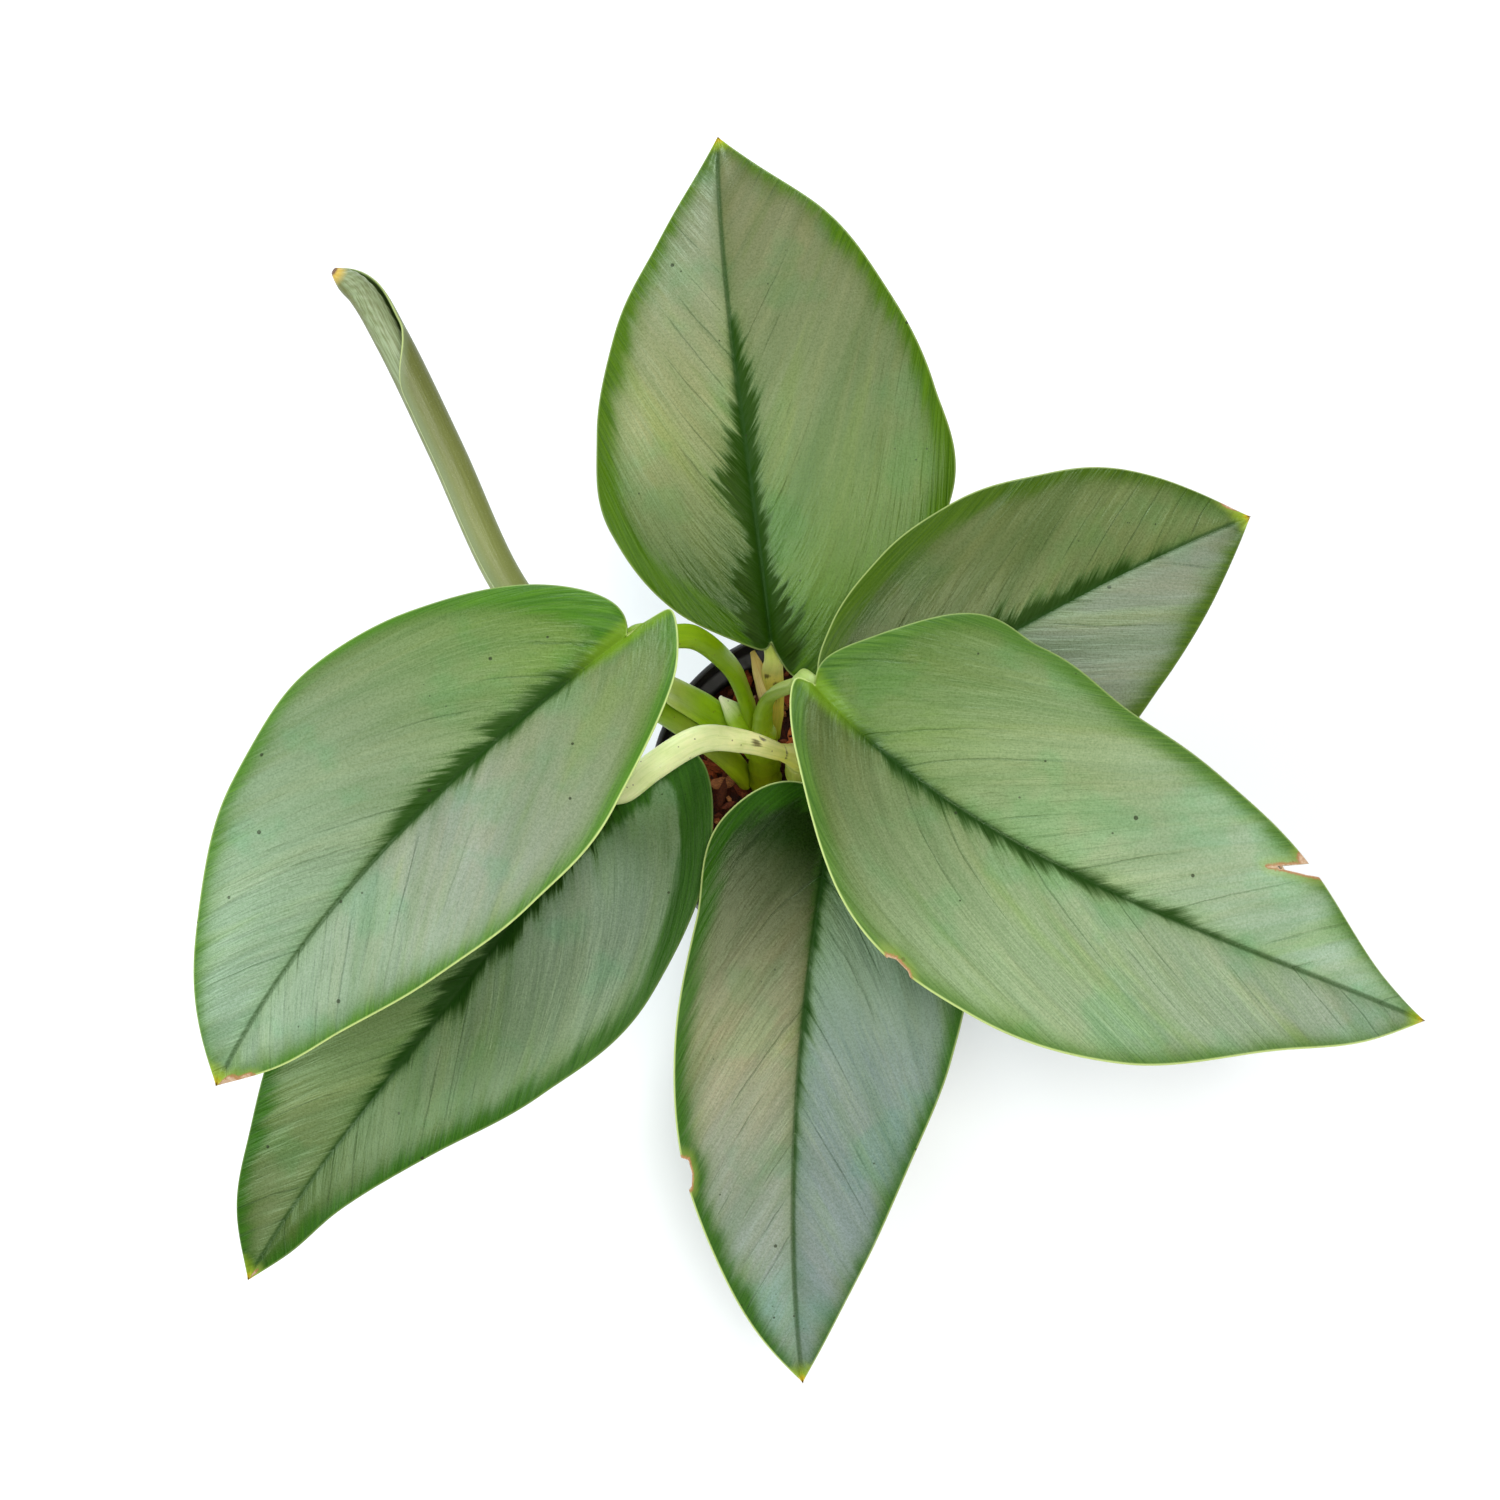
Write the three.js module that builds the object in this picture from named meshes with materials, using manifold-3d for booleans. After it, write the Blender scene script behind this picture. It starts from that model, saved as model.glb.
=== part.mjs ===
// A potted moonlight scindapsus: six open leaves and one rolled new leaf on two short stems,
// in potting soil in a round black nursery pot.
// Millimetres and degrees, +Z up. The origin is the centre of the pot's foot, on the table.
import * as THREE from 'three';
import { mergeVertices } from 'three/addons/utils/BufferGeometryUtils.js';
import Module from 'manifold-3d';

const wasm = await Module();
wasm.setup();

// Pot and soil
const POT_HEIGHT = 80;
const POT_RIM_RADIUS = 45;
const POT_RIM_DEPTH = 9;
const POT_FOOT_RADIUS = 32.5;
const POT_SHOULDER_RADIUS = 42;
const POT_SHOULDER = POT_HEIGHT - POT_RIM_DEPTH; // height where the wall steps out into the rim
const POT_WALL = 1.5;
const POT_FLOOR = 2;
const POT_BEVEL = 1.2; // at the foot's edge and under the rim
const POT_ROUND = 0.7; // at the rim's upper edge
const POT_SIDES = 56;
const DRAIN_HOLES = 5;
const DRAIN_RADIUS = 3.5;
const DRAIN_CIRCLE = 21;
const DRAIN_SIDES = 16;
const SOIL_HEIGHT = 72;
const SOIL_BUMP = 1.1; // height of its unevenness
const SOIL_WAVE = 0.3; // radians per millimetre across the bumps
const SOIL_RIPPLE = 0.5; // the same for the smaller bumps between them
const SOIL_FALL = 1.5; // how much lower it lies against the pot
const SOIL_SIDES = 36;
const SOIL_RINGS = 8;
const SEAT = 0.3; // the clearance between pieces that touch

// Leaf blades: the same thickness, fold and curl on every leaf
const BLADE = 0.9;
const MIDRIB_DEPTH = 1.1;
const MIDRIB_STEPS = 64;
const MIDRIB_START = 0.1; // share of the leaf's length before the rib stands out below
const FOLD = [22, 9]; // rise of each half beside the midrib, at the base and at the tip
const CURL = [-28, -14]; // turn of each half per CURL_SPAN towards its margin, base and tip
const CURL_SPAN = 38;
const LOBE_PLACE = 0.07; // where along the margin the base lobe reaches furthest back
const MIDRIB_SWEEP = 1.35; // rays leave the midrib behind the place where they meet the margin
const RAY_SWEEP = 1.25;
const WIDTH_STATIONS = [0, 0.04, 0.12, 0.25, 0.42, 0.6, 0.78, 0.92, 1];
const BLADE_ROWS = [0, 0.015, 0.04, 0.08, 0.13, 0.19, 0.26, 0.34, 0.42, 0.5, 0.58, 0.66, 0.74, 0.82,
  0.9, 0.96, 1];
const BLADE_COLUMNS = [-1, -0.76, -0.52, -0.28, -0.08, 0, 0.08, 0.28, 0.52, 0.76, 1];

// Each leaf: where its midrib starts, its heading and pitch at base, middle and tip, its roll at
// base and tip, its length, its half widths at the inner width stations, and how far the left
// and the right base lobe reach behind the midrib's start.
const LEAVES = {
  back: {
    base: [-14, 19.5, 132], heading: [97, 97, 90], pitch: [20, 9, -8], roll: [-6, -13],
    length: 130,
    left: [4, 21.5, 34.5, 35, 28, 15.5, 5], right: [7.5, 28.5, 47, 46.5, 39, 26, 9], lobes: [-2, 8],
  },
  back_right: {
    base: [3.5, -5, 144], heading: [27, 28, 27], pitch: [16, 4, -15], roll: [0, 0],
    length: 107,
    left: [10.5, 21.5, 30, 33, 30, 22.5, 9], right: [12.5, 23.5, 33, 36, 28, 17, 6.5], lobes: [-1, 5],
  },
  right: {
    base: [-5, -3.5, 166.5], heading: [-52, -25, -18], pitch: [3, -5, -21], roll: [0, 0],
    length: 152.5,
    left: [8.5, 33, 40, 37.5, 33, 20.5, 5.5], right: [3.5, 14.5, 33, 38.5, 34, 19.5, 9], lobes: [-1, 0],
  },
  front: {
    base: [0.5, -18.5, 126], heading: [-100, -94, -82], pitch: [0, -15, -34], roll: [0, 0],
    length: 136,
    left: [14, 26, 35.5, 34.5, 26.5, 16.5, 6.5], right: [11, 25, 27.5, 29, 26, 17, 7.5], lobes: [5, 0],
  },
  left: {
    base: [-46, 9.5, 163], heading: [-140, -134, -122], pitch: [2, -10, -30], roll: [9, -2],
    length: 135.5,
    left: [1.5, 18.5, 32, 34.5, 29.5, 19.5, 9.5], right: [8, 23, 35.5, 42, 36, 23.5, 10.5], lobes: [8, -1],
  },
  front_left: {
    base: [-57.5, -18, 118], heading: [-120, -130, -124], pitch: [-3.5, -13.5, -30], roll: [0, 0],
    length: 138.5,
    left: [19, 31, 38, 32, 20.5, 10.5, 5], right: [18, 28, 36, 35, 28.5, 19, 9], lobes: [18, 13],
  },
};

// What is gone from two margins, in the blade's own coordinates: share along the margin, and
// share of the half width. The right leaf is torn on its left margin, the front leaf is bitten.
const NOTCHES = {
  right: { side: 1, corners: [[0.768, 1.06], [0.73, 0.73], [0.792, 1.06]] },
  front: { side: -1, corners: [[0.658, 1.06], [0.652, 0.97], [0.636, 0.94], [0.614, 0.945], [0.594, 1.06]] },
};
const NOTCH_REACH = 3; // how far a notch's cutter stands out above and below the blade

// The new leaf, still rolled: its axis from base to tip, and its outer radius along it
const ROLL_AXIS = [[-64, 14.2, 144.5], [-75, 27, 151.5], [-88.2, 53.7, 164], [-99.7, 75.6, 175.5],
  [-105.5, 84, 182], [-111, 86.5, 187]];
const ROLL_STATIONS = [0, 0.12, 0.3, 0.6, 0.8, 0.92, 1];
const ROLL_RADII = [3.3, 4.3, 4.6, 4.5, 4.2, 3.2, 0.8];
const ROLL_SHEET = 0.7;
const ROLL_TIGHTEN = 0.3; // share of the radius lost in one turn inwards
const ROLL_MOUTH = 0.7; // above this share of its length the outer margin swings open
const ROLL_OUTER = [135, -120]; // angle of the outer margin below the mouth, and at the tip
const ROLL_INNER = [-385, -235]; // angle of the inner margin below the mouth, and at the tip
const ROLL_UNWINDS = [0.4, 0.85]; // shares of its length between which the inner margin turns back
const ROLL_THIN = 0.6; // the sheet is never thicker than this share of the radius
const ROLL_STEPS = 16;
const ROLL_COLUMNS = 20;

// Stems, petioles, sheaths and the bud: x, y, z and width at points chosen along each one.
// A petiole that carries a leaf ends under (or, where it bends over it, on top of) its base.
const STALK_SIDES = 10;
const STALK_STEPS = 3; // rings from one chosen point to the next
const STALK_DEPTH = 0.8; // depth of a stalk's section over its width
const STRIP_DEPTH = 0.24; // the same for a flat sheath
const PETIOLE_END = 4.2; // width where a petiole meets its blade
const PETIOLE_MEETS = [-3, 3.5]; // its last two points, measured along the midrib
const PETIOLE_DIP = 0.35; // keeps its end clear of the blade where the midrib arches
const STALKS = {
  stem_left: {
    path: [[-14.7, 2.4, 62, 8], [-15.1, 3.4, 76, 8], [-15.4, 5.2, 90, 7.6], [-16, 6.1, 103.6, 6.8]],
  },
  stem_right: {
    path: [[-2.5, 1, 62, 8.5], [-4.5, -0.5, 80, 8.2], [-6.5, -1, 94, 7.8], [-7.3, -1, 103.9, 7]],
  },
  petiole_back: {
    path: [[-12.5, 10.8, 95, 5], [-13, 15.2, 105, 4.8], [-13.6, 17.4, 117, 5.4]],
    leaf: 'back',
  },
  petiole_back_right: {
    path: [[0.4, 0, 88, 5.2], [1, 0.6, 104, 5.2], [2, 0.2, 118, 5], [3, -2.5, 132, 4.8]],
    leaf: 'back_right',
  },
  petiole_right: {
    path: [[-16, 6.6, 104.2, 6], [-15.8, 8.8, 114, 5], [-14.2, 9.2, 124, 4.5], [-8.7, 5.5, 142, 4.3]],
    leaf: 'right',
  },
  petiole_front: {
    path: [[-5, -7.4, 86, 5.4], [-3.5, -9, 98, 5.2], [-1.5, -12, 111, 5]],
    leaf: 'front',
  },
  petiole_left: {
    path: [[-17.3, 11.3, 97, 5.2], [-18.8, 13.6, 114, 5.6], [-22.6, 13.9, 132, 5.8],
      [-31.8, 13.2, 151, 5.8], [-37.5, 11.3, 157.5, 5.4]],
    leaf: 'left',
  },
  petiole_front_left: {
    path: [[-7.3, -1, 104.3, 5.4], [-7.6, -1, 106.5, 5], [-12, -2, 115, 5.1], [-20.5, -2.3, 124, 6],
      [-30.5, -4, 130.5, 6.7], [-41, -11, 132.5, 6.9], [-48.5, -15.5, 127.5, 6.2]],
    leaf: 'front_left', above: true,
  },
  petiole_rolled: {
    path: [[-21.3, 3, 71, 4.4], [-22.3, 3.7, 84, 6.2], [-27.5, 4.7, 97, 6.2], [-41.5, 6.7, 122, 5.8],
      [-55, 9, 136.5, 5.4], [-61.5, 11.4, 142.4, 5.4], [-63.6, 13.7, 144.1, 5.4]],
  },
  sheath_green: {
    path: [[-24.8, 10, 96, 4.4], [-26, 10.8, 101, 6.2], [-29.6, 11, 109, 7], [-38.3, 10.3, 127, 5.6],
      [-42, 10.1, 132.5, 3]],
    flat: true,
  },
  sheath_dry: {
    path: [[-15.9, 15, 103, 1.6], [-17.1, 16.7, 110, 2.2], [-17.9, 18, 116, 3.2], [-19, 19.8, 124.5, 1.2]],
    flat: true,
  },
  bud: {
    path: [[-21.2, 8.7, 95, 4.2], [-22.6, 9.8, 101.5, 4.4], [-24.2, 11.4, 108, 3.4], [-26.3, 12.6, 113, 0.9]],
  },
};

const COLOURS = {
  pot: [0x1b1c1d, 0.55], soil: [0x33241b, 0.95], leaf: [0x6f8a63, 0.45], stalk: [0x8da254, 0.5],
  dry: [0xb89a5e, 0.8],
};

const group = new THREE.Group();

function add(name, geometry, look) {
  const [color, roughness] = COLOURS[look];
  const mesh = new THREE.Mesh(geometry, new THREE.MeshStandardMaterial({ color, roughness, metalness: 0 }));
  mesh.name = name;
  group.add(mesh);
}

// A smooth curve through values at rising stations; each slope follows from the two neighbours.
function through(stations, values, at) {
  const last = stations.length - 1;
  const rise = (i) => (values[i + 1] - values[i]) / (stations[i + 1] - stations[i]);
  const slope = (i) => {
    if (i === 0) return 1.5 * rise(0) - 0.5 * slope(1);
    if (i === last) return 1.5 * rise(last - 1) - 0.5 * slope(last - 1);
    const before = stations[i] - stations[i - 1];
    const after = stations[i + 1] - stations[i];
    return (rise(i - 1) * after + rise(i) * before) / (before + after);
  };
  let i = 0;
  while (i < last - 1 && at >= stations[i + 1]) i += 1;
  const span = stations[i + 1] - stations[i];
  const t = (at - stations[i]) / span;
  const near = values[i] * (1 + 2 * t) * (1 - t) ** 2 + slope(i) * span * t * (1 - t) ** 2;
  const far = values[i + 1] * t * t * (3 - 2 * t) + slope(i + 1) * span * t * t * (t - 1);
  return near + far;
}

// Values at the start, middle and end of a line, joined by one smooth arch
function arch([start, middle, end], t) {
  return start * (1 - t) * (1 - 2 * t) + 4 * middle * t * (1 - t) + end * t * (2 * t - 1);
}

const mix = (a, b, t) => a + (b - a) * t;
const radians = THREE.MathUtils.degToRad;

// The midrib as closely spaced points, each with the blade's left and upward directions
function midrib(leaf) {
  const direction = (t) => {
    const heading = radians(arch(leaf.heading, t));
    const pitch = radians(arch(leaf.pitch, t));
    const level = Math.cos(pitch);
    return new THREE.Vector3(level * Math.cos(heading), level * Math.sin(heading), Math.sin(pitch));
  };
  const place = new THREE.Vector3(...leaf.base);
  const frames = [];
  for (let i = 0; i <= MIDRIB_STEPS; i += 1) {
    const t = i / MIDRIB_STEPS;
    const along = direction(t);
    if (i > 0) {
      const both = direction((i - 1) / MIDRIB_STEPS).add(along);
      place.addScaledVector(both, leaf.length / MIDRIB_STEPS / 2);
    }
    const heading = radians(arch(leaf.heading, t));
    const level = new THREE.Vector3(-Math.sin(heading), Math.cos(heading), 0);
    const roll = radians(mix(...leaf.roll, t));
    const left = level.clone().applyAxisAngle(along, roll);
    const up = along.clone().cross(left);
    frames.push({ place: place.clone(), along, left, up });
  }
  return frames;
}

// The midrib's frame at a distance from its start; behind the start it runs straight on.
function frameAt(leaf, frames, distance) {
  const last = frames.length - 1;
  const at = THREE.MathUtils.clamp(distance / leaf.length, 0, 1) * last;
  const i = Math.min(Math.floor(at), last - 1);
  const blend = (key) => frames[i][key].clone().lerp(frames[i + 1][key], at - i);
  const place = blend('place').addScaledVector(frames[0].along, Math.min(distance, 0));
  return { place, left: blend('left'), up: blend('up') };
}

// The margin at share m of the leaf: distance along the midrib, and half width. The base lobe
// reaches back, and its pull on the margin is gone at the tip.
function margin(leaf, side, m) {
  const widths = [0, ...(side > 0 ? leaf.left : leaf.right), 0];
  const lobe = leaf.lobes[side > 0 ? 0 : 1];
  const k = m / LOBE_PLACE;
  const back = (lobe + LOBE_PLACE * leaf.length) * k * Math.exp(1 - k) * (1 - m ** 8);
  return [leaf.length * m - back, through(WIDTH_STATIONS, widths, m)];
}

// A point of the blade's middle surface: m along the margin, r from midrib (0) to margin (1)
function bladePoint(leaf, frames, side, m, r) {
  const [reach, width] = margin(leaf, side, m);
  const start = leaf.length * m ** MIDRIB_SWEEP;
  const frame = frameAt(leaf, frames, start + (reach - start) * r ** RAY_SWEEP);
  const fold = radians(mix(...FOLD, m));
  const turn = radians(mix(...CURL, m)) / CURL_SPAN;
  const out = (Math.sin(fold + turn * width * r) - Math.sin(fold)) / turn;
  const rise = (Math.cos(fold) - Math.cos(fold + turn * width * r)) / turn;
  frame.place.addScaledVector(frame.left, side * out).addScaledVector(frame.up, rise);
  return frame;
}

// A closed solid between two grids of points of one size, with its four edges joined
function sheet(upper, lower) {
  const rows = upper.length;
  const columns = upper[0].length;
  const points = [...upper.flat(), ...lower.flat()];
  const top = (i, j) => i * columns + j;
  const below = (i, j) => rows * columns + i * columns + j;
  const faces = [];
  const quad = (a, b, c, d) => faces.push(a, b, c, a, c, d);
  for (let i = 0; i < rows - 1; i += 1) {
    for (let j = 0; j < columns - 1; j += 1) {
      quad(top(i, j), top(i + 1, j), top(i + 1, j + 1), top(i, j + 1));
      faces.push(below(i, j), below(i + 1, j + 1), below(i + 1, j));
      faces.push(below(i, j), below(i, j + 1), below(i + 1, j + 1));
    }
    quad(top(i, 0), below(i, 0), below(i + 1, 0), top(i + 1, 0));
    const e = columns - 1;
    quad(top(i, e), top(i + 1, e), below(i + 1, e), below(i, e));
  }
  for (let j = 0; j < columns - 1; j += 1) {
    quad(top(0, j), top(0, j + 1), below(0, j + 1), below(0, j));
    const e = rows - 1;
    quad(top(e, j), below(e, j), below(e, j + 1), top(e, j + 1));
  }
  return solid(points, faces);
}

// Points and triangles as a geometry with shared vertices and no triangle of zero size
function solid(points, faces) {
  const geometry = new THREE.BufferGeometry().setFromPoints(points);
  geometry.setIndex(faces);
  const merged = mergeVertices(geometry, 1e-3);
  const index = Array.from(merged.index.array);
  const kept = [];
  for (let i = 0; i < index.length; i += 3) {
    const [a, b, c] = index.slice(i, i + 3);
    if (a !== b && b !== c && c !== a) kept.push(a, b, c);
  }
  merged.setIndex(kept);
  merged.computeVertexNormals();
  return merged;
}

function toManifold(geometry) {
  const bare = geometry.clone();
  bare.deleteAttribute('normal');
  bare.deleteAttribute('uv');
  const merged = mergeVertices(bare, 1e-4);
  const vertProperties = new Float32Array(merged.attributes.position.array);
  const triVerts = new Uint32Array(merged.index.array);
  return new wasm.Manifold(new wasm.Mesh({ numProp: 3, vertProperties, triVerts }));
}

function cut(geometry, cutters) {
  let body = toManifold(geometry);
  for (const cutter of cutters) body = body.subtract(toManifold(cutter));
  const mesh = body.getMesh();
  const result = new THREE.BufferGeometry();
  result.setAttribute('position', new THREE.BufferAttribute(new Float32Array(mesh.vertProperties), 3));
  result.setIndex(Array.from(mesh.triVerts));
  result.computeVertexNormals();
  return result;
}

// A leaf blade: both faces on the same grid, with the midrib standing out below
function blade(leaf) {
  const frames = midrib(leaf);
  const upper = [];
  const lower = [];
  for (const m of BLADE_ROWS) {
    const bare = THREE.MathUtils.smoothstep(m, MIDRIB_START, 2 * MIDRIB_START) * (1 - m);
    const row = BLADE_COLUMNS.map((c) => bladePoint(leaf, frames, Math.sign(c) || 1, m, Math.abs(c)));
    upper.push(row.map(({ place, up }) => place.clone().addScaledVector(up, BLADE / 2)));
    lower.push(row.map(({ place, up }, j) => {
      const rib = BLADE_COLUMNS[j] === 0 ? MIDRIB_DEPTH * bare : 0;
      return place.clone().addScaledVector(up, -BLADE / 2 - rib);
    }));
  }
  return sheet(upper, lower);
}

// A prism that stands through the blade on a notch's corners
function notchCutter(leaf, { side, corners }) {
  const frames = midrib(leaf);
  const ring = (height) => corners.map(([m, r]) => {
    const { place, up } = bladePoint(leaf, frames, side, m, r);
    return place.addScaledVector(up, height);
  });
  return tube([ring(-NOTCH_REACH), ring(NOTCH_REACH)]);
}

for (const [name, leaf] of Object.entries(LEAVES)) {
  const notch = NOTCHES[name];
  const whole = blade(leaf);
  add(`leaf_${name}`, notch ? cut(whole, [notchCutter(leaf, notch)]) : whole, 'leaf');
}

// A stalk: a closed tube of oval section along a curve, wider across its run than deep
function stalk(points, depth, grow = 0) {
  const curve = new THREE.CatmullRomCurve3(points.map(([x, y, z]) => new THREE.Vector3(x, y, z)));
  const steps = STALK_STEPS * (points.length - 1) + 1;
  const first = curve.getPoint(0);
  const run = curve.getPoint(1).sub(first).setZ(0).normalize();
  const across = new THREE.Vector3(-run.y, run.x, 0);
  const rings = [];
  for (let i = 0; i <= steps; i += 1) {
    const t = i / steps;
    const centre = curve.getPoint(t);
    const along = curve.getTangent(t);
    const side = across.clone().addScaledVector(along, -across.dot(along)).normalize();
    const up = along.clone().cross(side);
    const at = t * (points.length - 1);
    const k = Math.min(Math.floor(at), points.length - 2);
    const width = mix(points[k][3], points[k + 1][3], at - k);
    rings.push(Array.from({ length: STALK_SIDES }, (_, j) => {
      const angle = (2 * Math.PI * j) / STALK_SIDES;
      return centre.clone()
        .addScaledVector(side, (width / 2 + grow) * Math.cos(angle))
        .addScaledVector(up, ((width * depth) / 2 + grow) * Math.sin(angle));
    }));
  }
  return tube(rings);
}

// Rings of points joined into a closed tube, with a flat fan at each end
function tube(rings) {
  const sides = rings[0].length;
  const last = rings.length - 1;
  const points = rings.flat();
  const faces = [];
  for (let i = 0; i < last; i += 1) {
    for (let j = 0; j < sides; j += 1) {
      const k = (j + 1) % sides;
      const [a, b, c, d] = [i * sides + j, i * sides + k, (i + 1) * sides + k, (i + 1) * sides + j];
      faces.push(a, b, c, a, c, d);
    }
  }
  for (let j = 1; j < sides - 1; j += 1) {
    faces.push(0, j + 1, j);
    faces.push(last * sides, last * sides + j, last * sides + j + 1);
  }
  return solid(points, faces);
}

// Where a petiole meets its blade: two points below the midrib's start. Above it, the petiole
// lies between the two rising halves of the blade, so it keeps further off the midrib.
function petioleEnd(leaf, above) {
  const frames = midrib(leaf);
  const rise = above ? (PETIOLE_END / 2) * Math.tan(radians(FOLD[0])) : PETIOLE_DIP;
  const clear = BLADE / 2 + SEAT + (PETIOLE_END * STALK_DEPTH) / 2 + rise;
  return PETIOLE_MEETS.map((distance) => {
    const { place, up } = frameAt(leaf, frames, distance);
    place.addScaledVector(up, above ? clear : -clear);
    return [place.x, place.y, place.z, PETIOLE_END];
  });
}

const sockets = [];
for (const [name, { path, leaf, above, flat }] of Object.entries(STALKS)) {
  const points = leaf ? [...path, ...petioleEnd(LEAVES[leaf], above)] : path;
  const depth = flat ? STRIP_DEPTH : STALK_DEPTH;
  add(name, stalk(points, depth), name === 'sheath_dry' ? 'dry' : 'stalk');
  if (path[0][2] < SOIL_HEIGHT) {
    const [[x, y, z, width], ...rest] = points;
    sockets.push(stalk([[x, y, z - SEAT, width], ...rest], depth, SEAT));
  }
}

// The rolled leaf: a sheet wound about its axis, whose outer margin opens into a mouth at the top
function rolledLeaf() {
  const curve = new THREE.CatmullRomCurve3(ROLL_AXIS.map((p) => new THREE.Vector3(...p)));
  const outer = [];
  const inner = [];
  for (let i = 0; i <= ROLL_STEPS; i += 1) {
    const t = i / ROLL_STEPS;
    const centre = curve.getPoint(t);
    const along = curve.getTangent(t);
    const right = new THREE.Vector3(along.y, -along.x, 0).normalize();
    const front = right.clone().cross(along);
    const radius = through(ROLL_STATIONS, ROLL_RADII, t);
    const open = THREE.MathUtils.smoothstep(t, ROLL_MOUTH, 1);
    const start = mix(...ROLL_OUTER, open);
    const end = mix(...ROLL_INNER, THREE.MathUtils.smoothstep(t, ...ROLL_UNWINDS));
    const at = (degrees, offset) => {
      const angle = radians(degrees);
      const reach = radius * (1 - (ROLL_TIGHTEN * (ROLL_OUTER[0] - degrees)) / 360) + offset;
      return centre.clone()
        .addScaledVector(right, reach * Math.cos(angle))
        .addScaledVector(front, reach * Math.sin(angle));
    };
    const half = Math.min(ROLL_SHEET, ROLL_THIN * radius) / 2;
    const angle = (_, j) => mix(start, end, j / ROLL_COLUMNS);
    const angles = Array.from({ length: ROLL_COLUMNS + 1 }, angle);
    outer.push(angles.map((a) => at(a, half)));
    inner.push(angles.map((a) => at(a, -half)));
  }
  return sheet(inner, outer);
}
add('leaf_rolled', rolledLeaf(), 'leaf');

// The pot: one lathe profile of foot, wall, rim and floor, with drain holes through the floor
function potProfile() {
  const foot = [[0, 0], [POT_FOOT_RADIUS - POT_BEVEL, 0], [POT_FOOT_RADIUS, POT_BEVEL]];
  const rim = [
    [POT_SHOULDER_RADIUS, POT_SHOULDER],
    [POT_RIM_RADIUS, POT_SHOULDER + POT_BEVEL],
    [POT_RIM_RADIUS, POT_HEIGHT - POT_ROUND],
    [POT_RIM_RADIUS - POT_ROUND, POT_HEIGHT],
    [POT_RIM_RADIUS - POT_WALL, POT_HEIGHT],
    [POT_RIM_RADIUS - POT_WALL, POT_SHOULDER + POT_BEVEL + POT_WALL],
  ];
  const inside = [
    [POT_SHOULDER_RADIUS - POT_WALL, POT_SHOULDER],
    [POT_FOOT_RADIUS - POT_WALL, POT_FLOOR],
    [0, POT_FLOOR],
  ];
  return [...foot, ...rim, ...inside];
}

// A lathe body about +Z, with the points along its seam shared
function lathe(profile, sides) {
  const points = profile.map(([r, z]) => new THREE.Vector2(r, z));
  const geometry = new THREE.LatheGeometry(points, sides).rotateX(Math.PI / 2);
  geometry.deleteAttribute('normal');
  geometry.deleteAttribute('uv');
  const merged = mergeVertices(geometry, 1e-3);
  const position = merged.attributes.position;
  const corner = (_, i) => new THREE.Vector3().fromBufferAttribute(position, i);
  return solid(Array.from({ length: position.count }, corner), Array.from(merged.index.array));
}

function drain(_, i) {
  const angle = (2 * Math.PI * i) / DRAIN_HOLES;
  const drill = new THREE.CylinderGeometry(DRAIN_RADIUS, DRAIN_RADIUS, 4 * POT_FLOOR, DRAIN_SIDES);
  drill.rotateX(Math.PI / 2);
  return drill.translate(DRAIN_CIRCLE * Math.cos(angle), DRAIN_CIRCLE * Math.sin(angle), 0);
}
const drains = Array.from({ length: DRAIN_HOLES }, drain);
add('pot', cut(lathe(potProfile(), POT_SIDES), drains), 'pot');

// The soil fills the pot to below its rim: a plug with an uneven top and a hole for each stem.
function soilBody() {
  const wall = (z) => {
    const share = (z - POT_FLOOR) / (POT_SHOULDER - POT_FLOOR);
    return mix(POT_FOOT_RADIUS, POT_SHOULDER_RADIUS, share) - POT_WALL - SEAT;
  };
  const uneven = (x, y) => {
    const ripple = Math.sin(SOIL_RIPPLE * (y - x)) / 2;
    return Math.sin(SOIL_WAVE * x + 1) * Math.cos(SOIL_WAVE * y) + ripple;
  };
  const ring = (radius, height) => Array.from({ length: SOIL_SIDES }, (_, j) => {
    const angle = (2 * Math.PI * j) / SOIL_SIDES;
    const [x, y] = [radius * Math.cos(angle), radius * Math.sin(angle)];
    return new THREE.Vector3(x, y, height(x, y));
  });
  const foot = POT_FLOOR + SEAT;
  const edge = wall(SOIL_HEIGHT - SOIL_FALL - 2 * SOIL_BUMP);
  const rings = [ring(wall(foot), () => foot)];
  for (let i = SOIL_RINGS; i >= 1; i -= 1) {
    const share = i / SOIL_RINGS;
    const level = SOIL_HEIGHT - SOIL_FALL * share ** 4;
    rings.push(ring(edge * share, (x, y) => level + SOIL_BUMP * uneven(x, y)));
  }
  return tube(rings);
}
add('soil', cut(soilBody(), sockets), 'soil');

export default group;
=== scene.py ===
import math

import bmesh
import bpy
import numpy as np
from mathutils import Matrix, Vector, noise


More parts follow.
